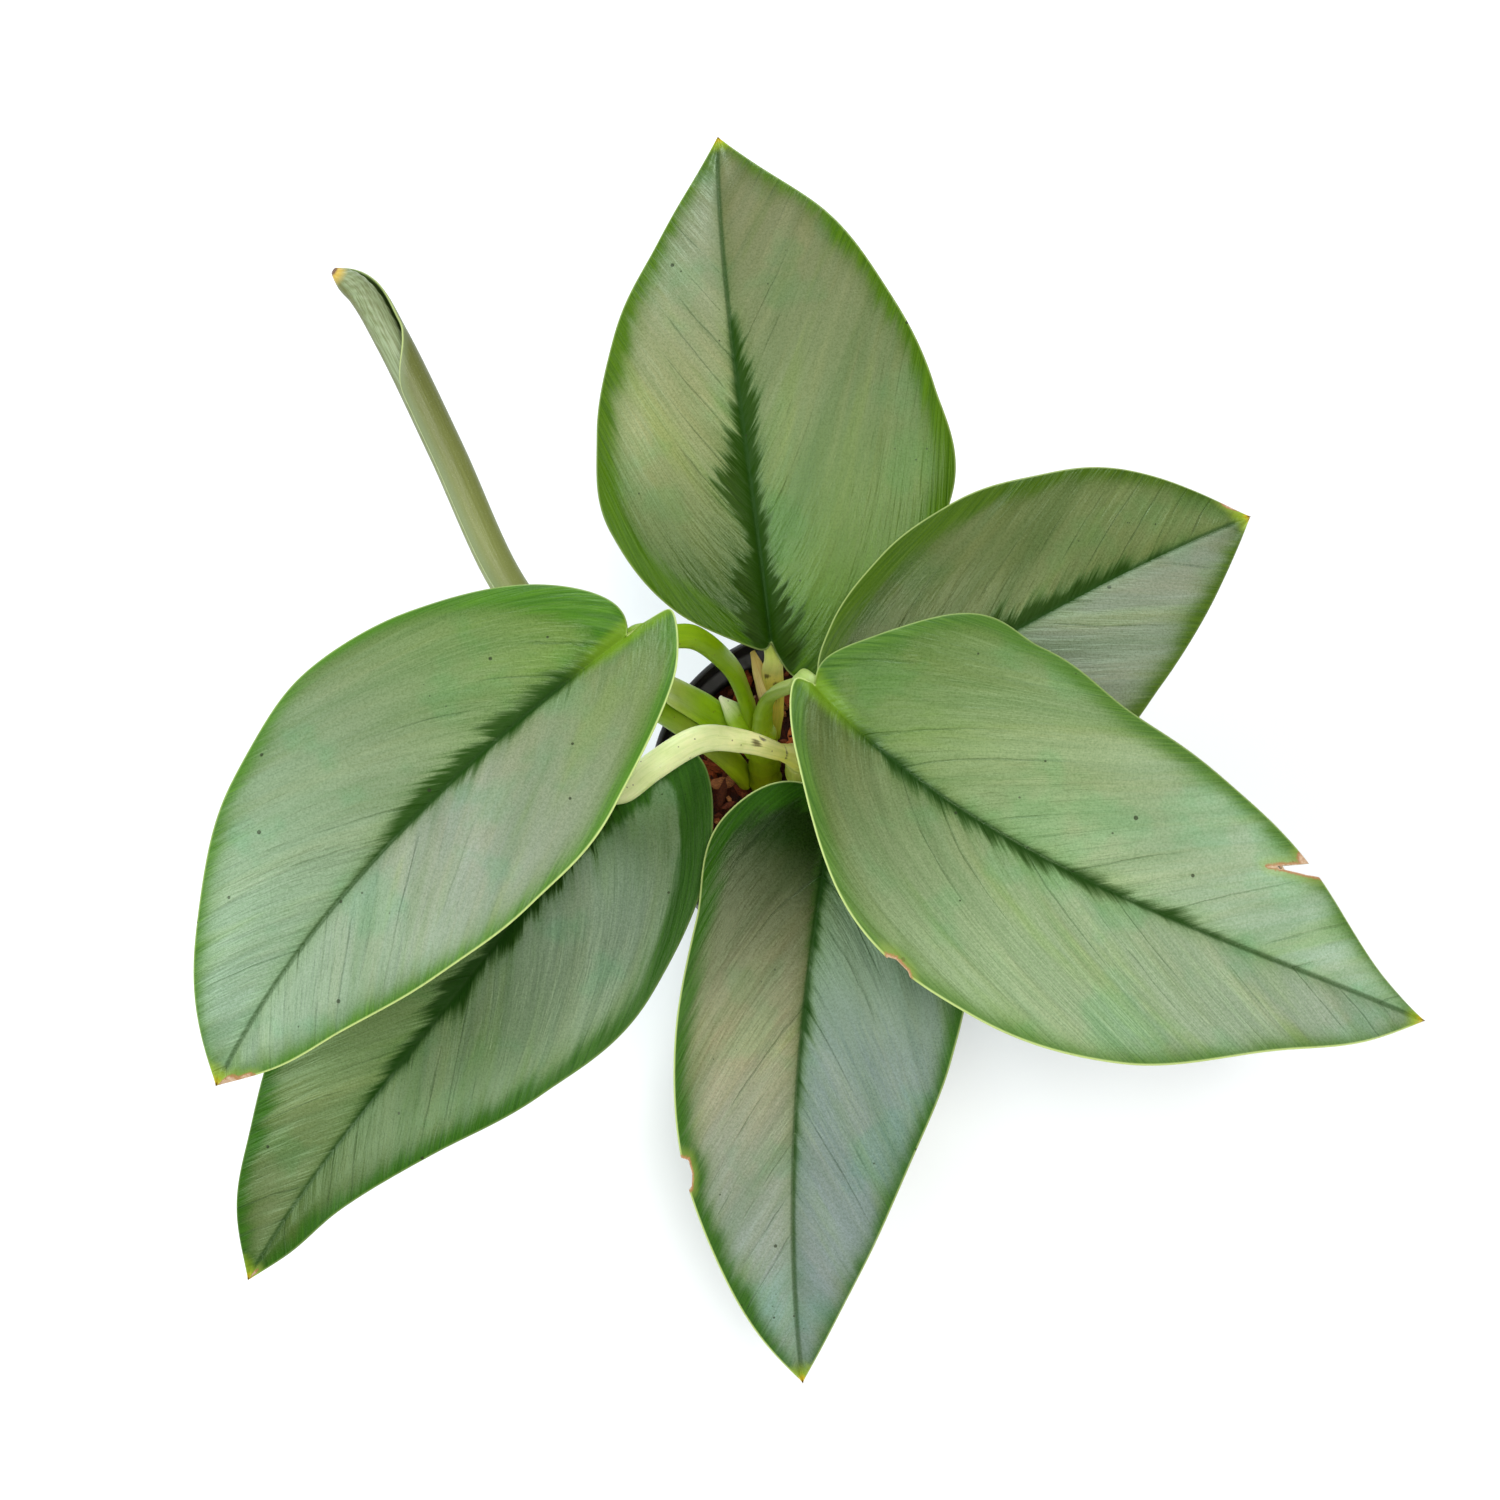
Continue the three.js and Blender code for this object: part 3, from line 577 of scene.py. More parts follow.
# The six open leaves. Each is one thick, leathery blade that folds up a little from a sunk midrib
# and curls down to its margins, with round base lobes. A petiole below or above its base holds it.
leaves = {
    # tones are each half's silver at the base, the middle and the tip, with painted light in them: they
    # differ from leaf to leaf and half to half as each half faces the light, lighter and bluer where a
    # painted sheen lies. brim is how strongly the thin pale edge shows on the left and the right, partly a
    # painted highlight where the margin catches the light.
    # angles are degrees at the start, the middle and the tip; a pair is the blade's left and right
    "back": dict(
        base=(-14, 19.5, 132), heading=(97, 97, 90), pitch=(20, 9, -8), roll=(-6, -13), length=130,
        widths=((4, 21.5, 34.5, 35, 28, 15.5, 5), (7.5, 28.5, 47, 46.5, 39, 26, 9)), lobes=(-2, 8),
        dark=((7.5, 7.5, 3.5, 6, 3.5, 1.4, 0.7, 0.4, 0.2, 0), (6, 6.5, 3, 4, 6, 4.5, 1.8, 0.8, 0.3, 0)),
        rims=((9, 7, 5, 4.2, 3.2, 2, 1), (7, 5.5, 3.8, 3.2, 2.8, 2, 1)),
        tones=(((46, 74, 0), (131, 138, 95), (124, 131, 106)),
               ((81, 111, 34), (103, 116, 75), (111, 113, 80))),
        green=(74, 108, 4), seed=1, wave=0.5, brim=(0.3, 0.35), glow=0.25,
    ),
    "back_right": dict(
        base=(3.5, -5, 144), heading=(27, 28, 27), pitch=(16, 4, -15), roll=(0, 0), length=107,
        widths=((10.5, 21.5, 30, 33, 30, 22.5, 9), (12.5, 23.5, 33, 36, 28, 17, 6.5)), lobes=(-1, 5),
        dark=((5, 5, 5, 5, 5, 4.5, 3.5, 2, 0.8, 0), (2, 2, 2, 2, 1.2, 1, 0.8, 0.5, 0.2, 0)),
        rims=((5, 5.5, 4.5, 4, 3, 2, 1.2), (7, 5.5, 4, 3, 2.5, 2, 1)),
        tones=(((69, 77, 39), (89, 99, 57), (102, 114, 68)),
               ((52, 76, 32), (114, 124, 103), (119, 126, 106))),
        green=(70, 96, 16), seed=2, wave=0.3, brim=(0.5, 0.1), glow=0,
    ),
    "right": dict(
        base=(-5, -3.5, 166.5), heading=(-52, -25, -18), pitch=(3, -5, -21), roll=(0, 0), length=152.5,
        widths=((8.5, 33, 40, 37.5, 33, 20.5, 5.5), (3.5, 14.5, 33, 38.5, 34, 19.5, 9)), lobes=(-1, 0),
        dark=((2.6, 2, 1.4, 1, 1.2, 1.8, 2.4, 0.8, 0.3, 0), (1.8, 1.8, 3, 3, 3, 2, 1.2, 0.6, 0.3, 0)),
        rims=((5, 4, 3.2, 3, 2.4, 1.2, 0.8), (4, 3, 2.2, 1.4, 1.2, 1, 0.8)),
        # the left half's base and middle tones are painted lighter: a painted sheen beside the midrib.
        tones=(((94, 116, 60), (126, 143, 102), (148, 169, 144)),
               ((86, 98, 54), (131, 149, 110), (134, 148, 124))),
        green=(84, 118, 44), seed=3, wave=0.5, brim=(0.35, 0.85), glow=0.9,
    ),
    "front": dict(
        base=(0.5, -18.5, 126), heading=(-100, -94, -82), pitch=(0, -15, -34), roll=(0, 0), length=136,
        widths=((14, 26, 35.5, 34.5, 26.5, 16.5, 6.5), (11, 25, 27.5, 29, 26, 17, 7.5)), lobes=(5, 0),
        dark=((2.5, 2.5, 2.2, 2.2, 2, 1.6, 1.2, 0.7, 0.3, 0), (2, 2, 1.5, 1, 1, 0.8, 0.5, 0.4, 0.2, 0)),
        rims=((6, 5, 3, 2.2, 1.6, 1.2, 0.8), (7, 6, 3.5, 3, 3.5, 3, 1.5)),
        tones=(((90, 114, 66), (109, 124, 116), (122, 134, 130)),
               ((26, 48, 6), (128, 125, 96), (136, 150, 142))),
        green=(52, 96, 16), seed=4, wave=0.4, brim=(0.5, 0.85), glow=0,
    ),
    "left": dict(
        base=(-46, 9.5, 163), heading=(-140, -134, -122), pitch=(2, -10, -30), roll=(9, -2), length=135.5,
        widths=((1.5, 18.5, 32, 34.5, 29.5, 19.5, 9.5), (8, 23, 35.5, 42, 36, 23.5, 10.5)), lobes=(9.2, -1),
        dark=((1.6, 1.6, 2, 2.5, 1.9, 1, 0.6, 0.4, 0.2, 0), (2.3, 2.6, 3.4, 4.3, 4.6, 2.3, 1, 0.6, 0.3, 0)),
        rims=((2.5, 3, 3, 1.6, 2, 1.5, 1), (12, 9, 2.6, 2.4, 2.2, 1.5, 1)),
        tones=(((113, 126, 84), (130, 138, 120), (124, 144, 116)),
               ((98, 123, 56), (113, 129, 94), (130, 154, 127))),
        green=(80, 124, 34), seed=5, wave=0.5, brim=(0.9, 0.4), glow=1,
    ),
    "front_left": dict(
        base=(-57.5, -18, 118), heading=(-120, -130, -124), pitch=(-3.5, -13.5, -30), roll=(0, 0),
        length=138.5,
        widths=((12, 29, 38, 32, 20.5, 10.5, 5), (18, 28, 36, 35, 28.5, 19, 9)), lobes=(23, 13),
        dark=((7, 7, 5, 3.5, 3, 2.2, 1.2, 0.8, 0.3, 0), (5, 5, 5, 4.5, 4, 3, 2, 1, 0.5, 0)),
        rims=((16, 9, 4, 3, 3, 2.5, 2), (5, 5, 4, 4, 4, 3, 2)),
        # the left half's base tone is painted pale and bluish: a painted sheen, which also makes up for the
        # shadow of the left leaf over that half.
        tones=(((128, 146, 124), (105, 125, 89), (78, 97, 46)),
               ((47, 78, 24), (99, 123, 74), (99, 114, 73))),
        green=(50, 96, 14), seed=6, wave=0.7, brim=(0.2, 0.2), glow=0,
    ),
}
# gone from the margins: a tear and a nick in the right leaf, and a bite in the front one. Corners
# are shares along the margin and of the half width; the side is 1 on the blade's left.
notches = {
    "right": [
        (1, [(0.768, 1.06), (0.757, 0.95), (0.747, 0.86), (0.73, 0.73), (0.751, 0.82), (0.77, 0.91),
             (0.792, 1.06)]),
        (-1, [(0.308, 1.06), (0.314, 0.99), (0.325, 0.968), (0.34, 0.98), (0.351, 1.06)]),
    ],
    "front": [(-1, [(0.658, 1.06), (0.652, 0.97), (0.636, 0.94), (0.614, 0.945), (0.594, 1.06)])],
}
# dry brown spots: side, share along the margin, share of the half width, and radius
sores = {
    "right": [(1, 0.757, 0.99, 1.6)],
    "left": [(1, 0.985, 0.9, 2.2), (1, 0.955, 1, 1.4)],
    "front_left": [(1, 0.985, 0.5, 0.9)],
    "back_right": [(1, 0.965, 0.98, 1.2)],
}
blade_thickness = 0.8
margin_thickness = 0.12
groove_depth = 0.5
groove_width = 0.95
midrib_depth = 1.1
midrib_width = 1.5
midrib_start = 0.1
swell_height = 0.35
vein_lean = 0.012
fold = (22, 9)
curl = (-28, -14)
curl_span = 38
lobe_place = 0.07
midrib_sweep = 1.35
ray_sweep = 1.25
width_stations = np.array([0, 0.04, 0.12, 0.25, 0.42, 0.6, 0.78, 0.92, 1])
dark_stations = np.array([0, 0.1, 0.2, 0.3, 0.4, 0.5, 0.6, 0.7, 0.85, 1])
rim_stations = np.array([0, 0.1, 0.25, 0.5, 0.75, 0.9, 1])
tone_stations = np.array([0.08, 0.42, 0.85])


def arch(values, t):
    """A value that runs smoothly through those of the start, the middle and the tip."""
    start, middle, end = values
    return start * (1 - t) * (1 - 2 * t) + 4 * middle * t * (1 - t) + end * t * (2 * t - 1)


def through(stations, values, at):
    """The smooth curve of the part's leaf widths."""
    values = np.asarray(values, float)
    span = np.diff(stations)
    rise = np.diff(values) / span
    slope = np.empty(len(values))
    slope[1:-1] = (rise[:-1] * span[1:] + rise[1:] * span[:-1]) / (span[:-1] + span[1:])
    slope[0] = 1.5 * rise[0] - 0.5 * slope[1]
    slope[-1] = 1.5 * rise[-1] - 0.5 * slope[-2]
    i = np.clip(np.searchsorted(stations, at, side="right") - 1, 0, len(span) - 1)
    t = (at - stations[i]) / span[i]
    near = values[i] * (1 + 2 * t) * (1 - t) ** 2 + slope[i] * span[i] * t * (1 - t) ** 2
    return near + values[i + 1] * t * t * (3 - 2 * t) + slope[i + 1] * span[i] * t * t * (t - 1)


def from_to(pair, t):
    """From the first of a pair to the second as t goes from 0 to 1."""
    return pair[0] + (pair[1] - pair[0]) * t


def soft_step(value, low, high):
    """A soft step from 0 to 1 as the value goes from low to high."""
    t = np.clip((value - low) / (high - low), 0, 1)
    return t * t * (3 - 2 * t)


def midrib(leaf, steps=256):
    """The midrib as points, with the blade's own left and up at each."""
    t = np.linspace(0, 1, steps + 1)
    heading, pitch = np.radians(arch(leaf["heading"], t)), np.radians(arch(leaf["pitch"], t))
    along = np.stack([np.cos(pitch) * np.cos(heading), np.cos(pitch) * np.sin(heading), np.sin(pitch)], 1)
    step = (along[1:] + along[:-1]) / 2 * leaf["length"] / steps
    place = np.vstack([[0, 0, 0], np.cumsum(step, 0)]) + np.array(leaf["base"])
    level = np.stack([-np.sin(heading), np.cos(heading), np.zeros_like(t)], 1)
    roll = np.radians(from_to(leaf["roll"], t))[:, None]
    left = level * np.cos(roll) + np.cross(along, level) * np.sin(roll)
    return place, along, left, np.cross(along, left)


def frame_at(leaf, bone, distance):
    """The midrib's place, left and up at a distance from its start, straight on behind it."""
    place, along, left, up = bone
    t = np.clip(distance / leaf["length"], 0, 1)
    stations = np.linspace(0, 1, len(place))
    here = [between(t, stations, rows) for rows in (place, left, up)]
    here[0] = here[0] + along[0] * np.minimum(distance, 0)[..., None]
    return here


def margin(leaf, side, m):
    """The margin's reach along the midrib and its distance from it, at a share of the margin."""
    own = 0 if side > 0 else 1
    widths = [0, *leaf["widths"][own], 0]
    lobe = leaf["lobes"][own]
    k = m / lobe_place
    back = (lobe + lobe_place * leaf["length"]) * k * np.exp(1 - k) * (1 - m**8)
    return leaf["length"] * m - back, through(width_stations, widths, m)


def blade_middle(leaf, bone, side, m, r):
    """The middle of the blade, with its up, its reach along the midrib and its half width."""
    reach, width = margin(leaf, side, m)
    start = leaf["length"] * m**midrib_sweep
    distance = start + (reach - start) * r**ray_sweep
    place, left, up = frame_at(leaf, bone, distance)
    rise = np.radians(from_to(fold, m))
    turn = np.radians(from_to(curl, m)) / curl_span
    out = (np.sin(rise + turn * width * r) - np.sin(rise)) / turn
    lift = (np.cos(rise) - np.cos(rise + turn * width * r)) / turn
    return place + left * (side * out)[..., None] + up * lift[..., None], up, distance, width


def inside_outline(points, corners):
    """Which points lie in a closed outline."""
    hit = np.zeros(len(points), bool)
    for (ax, ay), (bx, by) in zip(corners, np.roll(corners, -1, 0)):
        crosses = (ay > points[:, 1]) != (by > points[:, 1])
        at = ax + (points[:, 1] - ay) * (bx - ax) / (by - ay + 1e-12)
        hit ^= crosses & (points[:, 0] < at)
    return hit


def nearest_on(points, line):
    """The nearest place on a line of points, and how far it is."""
    line = np.asarray(line, float)
    best, far = points.copy(), np.full(len(points), 1e9)
    for a, b in zip(line[:-1], line[1:]):
        run = b - a
        t = np.clip(((points - a) @ run) / max(run @ run, 1e-12), 0, 1)[:, None]
        near = a + t * run
        gap = np.linalg.norm(points - near, axis=1)
        best = np.where((gap < far)[:, None], near, best)
        far = np.minimum(far, gap)
    return best, far


def by_side(side, at, stations, both):
    """A measure along the blade, with its own values at the stations on the left and the right."""
    return np.where(side >= 0, np.interp(at, stations, both[0]), np.interp(at, stations, both[1]))


def make_shell(name, upper, lower, shape, values, gone):
    """A thin closed piece from two grids of points, joined round its borders. Its finish can read
    which side it is on. Faces whose corners are all gone are left out."""
    count = len(gone)
    values = {key: np.concatenate([rows, rows]) for key, rows in values.items()}
    values["under"] = np.repeat([0, 1], count)
    grid = np.arange(count).reshape(shape)
    quads = np.stack([grid[:-1, :-1], grid[1:, :-1], grid[1:, 1:], grid[:-1, 1:]], -1).reshape(-1, 4)
    quads = quads[~gone[quads].all(1)]
    pairs = np.concatenate([quads[:, [k, (k + 1) % 4]] for k in range(4)])
    there = pairs[:, 0].astype(np.int64) * count + pairs[:, 1]
    back = pairs[:, 1].astype(np.int64) * count + pairs[:, 0]
    border = pairs[~np.isin(there, back)]
    walls = np.stack([border[:, 1], border[:, 0], border[:, 0] + count, border[:, 1] + count], 1)
    faces = quads.tolist() + (quads[:, ::-1] + count).tolist() + walls.tolist()
    return make_piece(name, np.vstack([upper, lower]), faces, values)


def make_blade(name, leaf, gone_from, spots):
    """One leaf blade: its two faces on one grid, joined round the margin, with a sunk midrib above
    and a raised one below, and with the values that its finish reads."""
    bone = midrib(leaf)
    rows = np.linspace(0, 1, 150) ** 1.25
    columns = np.concatenate([
        [0, 0.01, 0.022, 0.036, 0.055, 0.08, 0.11], np.arange(0.15, 0.9, 0.04),
        [0.9, 0.935, 0.962, 0.982, 0.994, 1],
    ])
    for _, corners in gone_from:
        low, high = min(c[0] for c in corners), max(c[0] for c in corners)
        rows = np.unique(np.concatenate([rows, np.linspace(low - 0.01, high + 0.01, 46)]))
    if gone_from:
        columns = np.unique(np.concatenate([columns, np.linspace(0.7, 1, 26)]))
    columns = np.concatenate([-columns[:0:-1], columns])
    m, c = np.meshgrid(rows, columns, indexing="ij")
    shape = m.shape
    m, c = m.ravel().copy(), c.ravel().copy()
    scale = np.array([leaf["length"], curl_span])
    wound = np.full(len(m), 99.0)
    gone = np.zeros(len(m), bool)
    for way, corners in gone_from:
        outline = np.array(corners) * scale
        points = np.stack([m, way * c], 1) * scale
        lost = inside_outline(points, outline)
        near, far = nearest_on(points, outline)
        points = np.where(lost[:, None], near, points) / scale
        wound = np.minimum(wound, np.where(way * c > 0, np.where(lost, 0, far), 99.0))
        m, c = points[:, 0], way * points[:, 1]
        gone |= lost
    for way, at, share, radius in spots:
        away = np.hypot((m - at) * scale[0], (way * c - share) * scale[1] * np.sin(np.pi * at) ** 0.6)
        wound = np.minimum(wound, np.maximum(away - radius, 0))
    r = np.abs(c)
    place, up = np.empty((2, len(m), 3))
    distance, width = np.empty((2, len(m)))
    for side in (1, -1):
        here = (c >= 0) == (side > 0)
        found = blade_middle(leaf, bone, side, m[here], r[here])
        place[here], up[here], distance[here], width[here] = found
    across = width * r
    far_out = r**3 * np.sin(np.pi * m) ** 0.5
    ripple = np.sin(17 * m + 2.1 * leaf["seed"] + np.sign(c) * 1.3)
    ripple += 0.6 * np.sin(31 * m - leaf["seed"] + c)
    swell = swell_height * np.sin(np.pi * r) * np.sin(7 * m + 5 * c + leaf["seed"])
    place = place + up * (leaf["wave"] * far_out * ripple + swell)[:, None]
    begins = soft_step(m, midrib_start, 2 * midrib_start)
    half = blade_thickness / 2 * np.sqrt(np.clip(1 - r**14, 0, 1)) + margin_thickness / 2
    groove = groove_depth * np.clip(m * 30, 0, 1) * (1 - m) ** 0.7 * np.exp(-((across / groove_width) ** 2))
    rib = midrib_depth * begins * (1 - m) * np.exp(-((across / midrib_width) ** 2))
    upper = place + up * (half - groove)[:, None]
    lower = place - up * (half + rib)[:, None]
    edge = np.full(len(m), 1e9)
    for line in place.reshape(*shape, 3)[:, [0, -1]].transpose(1, 0, 2):
        edge = np.minimum(edge, nearest_on(place, line)[1])
    x = distance / leaf["length"]
    acute = 0.3 + 1.05 * soft_step(x, -0.3, 0.55)
    vein = distance - across * acute - vein_lean * across**2
    dark = by_side(c, x, dark_stations, leaf["dark"]) - across
    rim = by_side(c, m, rim_stations, leaf["rims"]) - edge
    # the tones of each half, with the painted light that they hold, blended across the midrib
    left_tone, right_tone = (
        between(x, tone_stations, [shade(*tone) for tone in tones]) for tones in leaf["tones"]
    )
    halves = np.clip(0.5 + across * np.sign(c) / 1.2, 0, 1)[:, None]
    count = len(m)
    values = {
        "vein": np.stack([vein, across * np.sign(c), np.full(count, leaf["seed"] * 40.0)], 1),
        "dark": dark, "rim": rim, "edge": edge, "across": across, "tip": leaf["length"] - distance,
        "wound": wound, "share": x, "silver_and_painted_light": right_tone * (1 - halves) + left_tone * halves,
        "brim": np.where(c >= 0, *leaf["brim"]),
        "leafgreen": np.tile(shade(*leaf["green"]), (count, 1)),
        "glow": leaf["glow"] * soft_step(x, 0.2, 0.0) * soft_step(across, 6, 0.3),
    }
    return make_shell(name, upper, lower, shape, values, gone)


def feathered(value, noise_share, reach):
    """A distance in millimetres with a barbed edge."""
    return sums("ADD", value, product(sums("SUBTRACT", noise_share, 0.5), reach))


# Leaf skin: silver panels, their tones holding painted light half by half, finely grained and mottled, with
# thin dark veins swept to the tip; a dark feathered zone on the midrib, a green rim, a thin pale edge that
# is partly a painted highlight, specks, and dry brown wounds.
leaf_finish, shader = new_finish("silver_leaf_skin")
vein = surface_value("vein", "Vector")
place = place_in_mm()
streaks = grain(vein, (1.5, 0.08, 1), 4, 0.66)
broad = grain(vein, (0.10, 0.035, 1), 4, 0.6)
clouds = grain(place, (0.05, 0.05, 0.05), 3, 0.55)
drifts = grain(vein, (0.05, 0.03, 2), 3, 0.6)
mottle = grain(vein, (0.07, 0.022, 7), 4, 0.62)
cells = grain(place, (2.0, 2.0, 2.0), 4, 0.75)
pores = grain(place, (4.5, 4.5, 4.5), 2, 0.6)
barbs = grain(vein, (0.42, 0.035, 1), 6, 0.76)
gaps = grain(vein, (0.09, 0.04, 5), 3, 0.6)
fringe = grain(vein, (0.16, 0.05, 3), 5, 0.62)
colour = washed(
    surface_value("silver_and_painted_light", "Color"), (broad, (0.44, 0.66, 0, 0.5), (1.13, 1.02, 0.93)),
    (clouds, (0.52, 0.66, 0, 0.75), (0.8, 1.02, 0.92)), (drifts, (0.54, 0.7, 0, 0.5), (0.98, 1.08, 0.66)),
    (drifts, (0.32, 0.46, 0.6, 0), (0.78, 0.84, 0.74)), (mottle, (0.5, 0.68, 0, 0.65), (1.24, 1.19, 1.24)),
    (mottle, (0.34, 0.5, 0.65, 0), (0.72, 0.83, 0.7)), (streaks, (0.28, 0.48, 0.32, 0), (0.7, 0.78, 0.62)),
    (cells, (0.38, 0.54, 0.58, 0), (0.72, 0.78, 0.68)), (cells, (0.52, 0.7, 0, 0.58), (1.36, 1.28, 1.38)),
    (pores, (0.55, 0.72, 0, 0.45), (1.36, 1.28, 1.38)),
)

# the side veins, which stand a little proud, every few millimetres along the midrib
across = surface_value("across")
share = surface_value("share")
along_midrib = feathered(put("SeparateXYZ", {0: vein})[0], broad, 7)
steps = sums("PINGPONG", sums("ADD", along_midrib, 400), 5.2)
side_veins = product(rises(steps, 0.1, 0.45, 1, 0), rises(gaps, 0.46, 0.58))
side_veins = product(side_veins, rises(across, 10, 26, 0.6, 0.05))
colour = tinted(side_veins, colour, (0.52, 0.62, 0.5, 1), "MULTIPLY")

# the green of the rim and the base
green = surface_value("leafgreen", "Color")
edge = surface_value("edge")
rim_value = surface_value("rim")
rim_reach = product(sums("ADD", rim_value, edge), 2.2)
rim_share = rises(feathered(feathered(rim_value, fringe, rim_reach), drifts, 4), -2.1, 2.1)
rim_dark = tinted(1, green, (0.5, 0.62, 0.6, 1), "MULTIPLY")
rim_green = tinted(rises(streaks, 0.35, 0.65), rim_dark, green)
greening = rises(feathered(feathered(rim_value, broad, 7), drifts, 7), -5.5, 1.5)
greening = sums("MAXIMUM", greening, rises(feathered(share, streaks, 0.08), -0.06, 0.14, 1, 0))
colour = tinted(product(greening, 0.75), colour, (0.52, 0.68, 0.34, 1), "MULTIPLY")
colour = tinted(product(rim_share, 0.92), colour, rim_green)

# the dark feathered zone, and the trench of the midrib in it
dark_value = surface_value("dark")
dark_reach = sums("ADD", dark_value, across)
jagged = feathered(sums("SUBTRACT", dark_value, 0.4), barbs, product(dark_reach, 2.9))
jagged = feathered(jagged, gaps, product(dark_reach, 3.2))
dark_share = rises(jagged, 0.0, 1.9)
deep = painted(shade(14, 38, 2), (streaks, (0.35, 0.65), (40, 66, 12)))
deep = tinted(rises(across, 0.5, 5.5), shade(14, 52, 2), deep)
deep = tinted(0.35, deep, tinted(1, green, (0.4, 0.4, 0.5, 1), "MULTIPLY"))
colour = washed(colour, (jagged, (-4.5, 0.4, 0, 0.6), (0.62, 0.76, 0.5)))
colour = painted(colour, (jagged, (-1.1, 0.7, 0, 0.75), (50, 78, 26)))
colour = tinted(product(dark_share, 0.97), colour, deep)
trench = product(rises(across, 0.3, 0.85, 1, 0), rises(share, 0.04, 1.0, 0.95, 0.55))
colour = tinted(trench, colour, shade(28, 58, 12))

# the bright base of the midrib, the pale brim, which is partly a painted highlight along the margin, and
# the yellowed tip
lit = feathered(surface_value("glow"), streaks, 0.5)
colour = painted(colour, (lit, (0.2, 1.0, 0, 0.8), (110, 144, 30)))
# the brim is the margin's thin pale line with a painted highlight on it, stronger on the sides that catch
# the light
brim = product(surface_value("brim"), rises(edge, 0.15, 0.55, 1, 0))
colour = tinted(brim, colour, shade(196, 212, 132))
tip = surface_value("tip")
yellowed = feathered(tip, fringe, 5)
colour = painted(
    colour, (yellowed, (1.5, 6, 0.85, 0), (150, 172, 46)), (yellowed, (0.5, 2.6, 0.9, 0), (206, 176, 44)),
    (tip, (0.3, 0.9, 0.9, 0), (120, 78, 36)),
)


def spots(scale, part, chance, largest):
    """How far the nearest spot is, and its size, which is nothing below its own cell's chance."""
    cell = put("TexVoronoi", {"Vector": place, "Scale": scale, "Randomness": 1}, feature="F1")
    drawn = put("SeparateColor", {0: cell["Color"]})[part]
    return cell["Distance"], rises(drawn, chance, 1.0, 0.0, largest)


far, size = spots(0.16, 0, 0.5, 0.08)
colour = tinted(product(sums("LESS_THAN", far, size), 0.85), colour, shade(34, 40, 20))
far, size = spots(0.4, 1, 0.6, 0.11)
size = product(size, rises(clouds, 0.5, 0.62))
colour = tinted(product(sums("LESS_THAN", far, size), 0.8), colour, shade(36, 44, 22))

# dry wounds, and the paler, duller underside
sore = feathered(surface_value("wound"), cells, 1.6)
colour = painted(
    colour, (sore, (0.8, 3.0, 0.35, 0), (150, 166, 74)), (sore, (0.3, 0.9, 0.95, 0), (164, 114, 76)),
    (sore, (-0.2, 0.35, 0.9, 0), (206, 180, 152)),
)
under = surface_value("under")
pale = painted(
    shade(108, 134, 72), (streaks, (0.35, 0.65), (128, 150, 90)),
    (cells, (0.5, 0.7, 0, 0.4), (150, 170, 116)), (across, (0.6, 2.2, 0.8, 0), (150, 172, 96)),
)
rough = sums("ADD", rises(cells, 0.35, 0.7, 0.24, 0.38), product(dark_share, 0.12))
raised = sums("ADD", product(streaks, 0.25), product(cells, 0.22))
raised = sums("SUBTRACT", raised, product(side_veins, 0.8))
plug(shader, {
    "Base Color": tinted(product(under, 0.88), colour, pale),
    "Roughness": sums("ADD", rough, product(under, 0.15)),
    "Specular IOR Level": rises(sums("MAXIMUM", dark_share, product(rim_share, 0.7)), 0, 1, 0.34, 0.1),
    "Specular Tint": (0.8, 1, 0.62, 1),
    "Normal": relief(sums("ADD", raised, product(broad, 5.0)), 0.00028, 1.0),
})

for key, leaf in leaves.items():
    blade = make_blade(f"{key}_leaf_blade", leaf, notches.get(key, []), sores.get(key, []))
    settle(blade, leaf_finish, "leaf", f"leaf_{key}")


# The petioles. Each is a smooth round stalk with a shallow furrow along its upper side. It grows
# out of a stem, bends at a yellower knuckle, and runs on into the base of its blade.
stalk_depth = 0.8
petiole_end = 4.2
petiole_meets = np.array([-3.0, 3.5])
petiole_dip = 0.35
blade_seat = 0.45
seat = 0.3
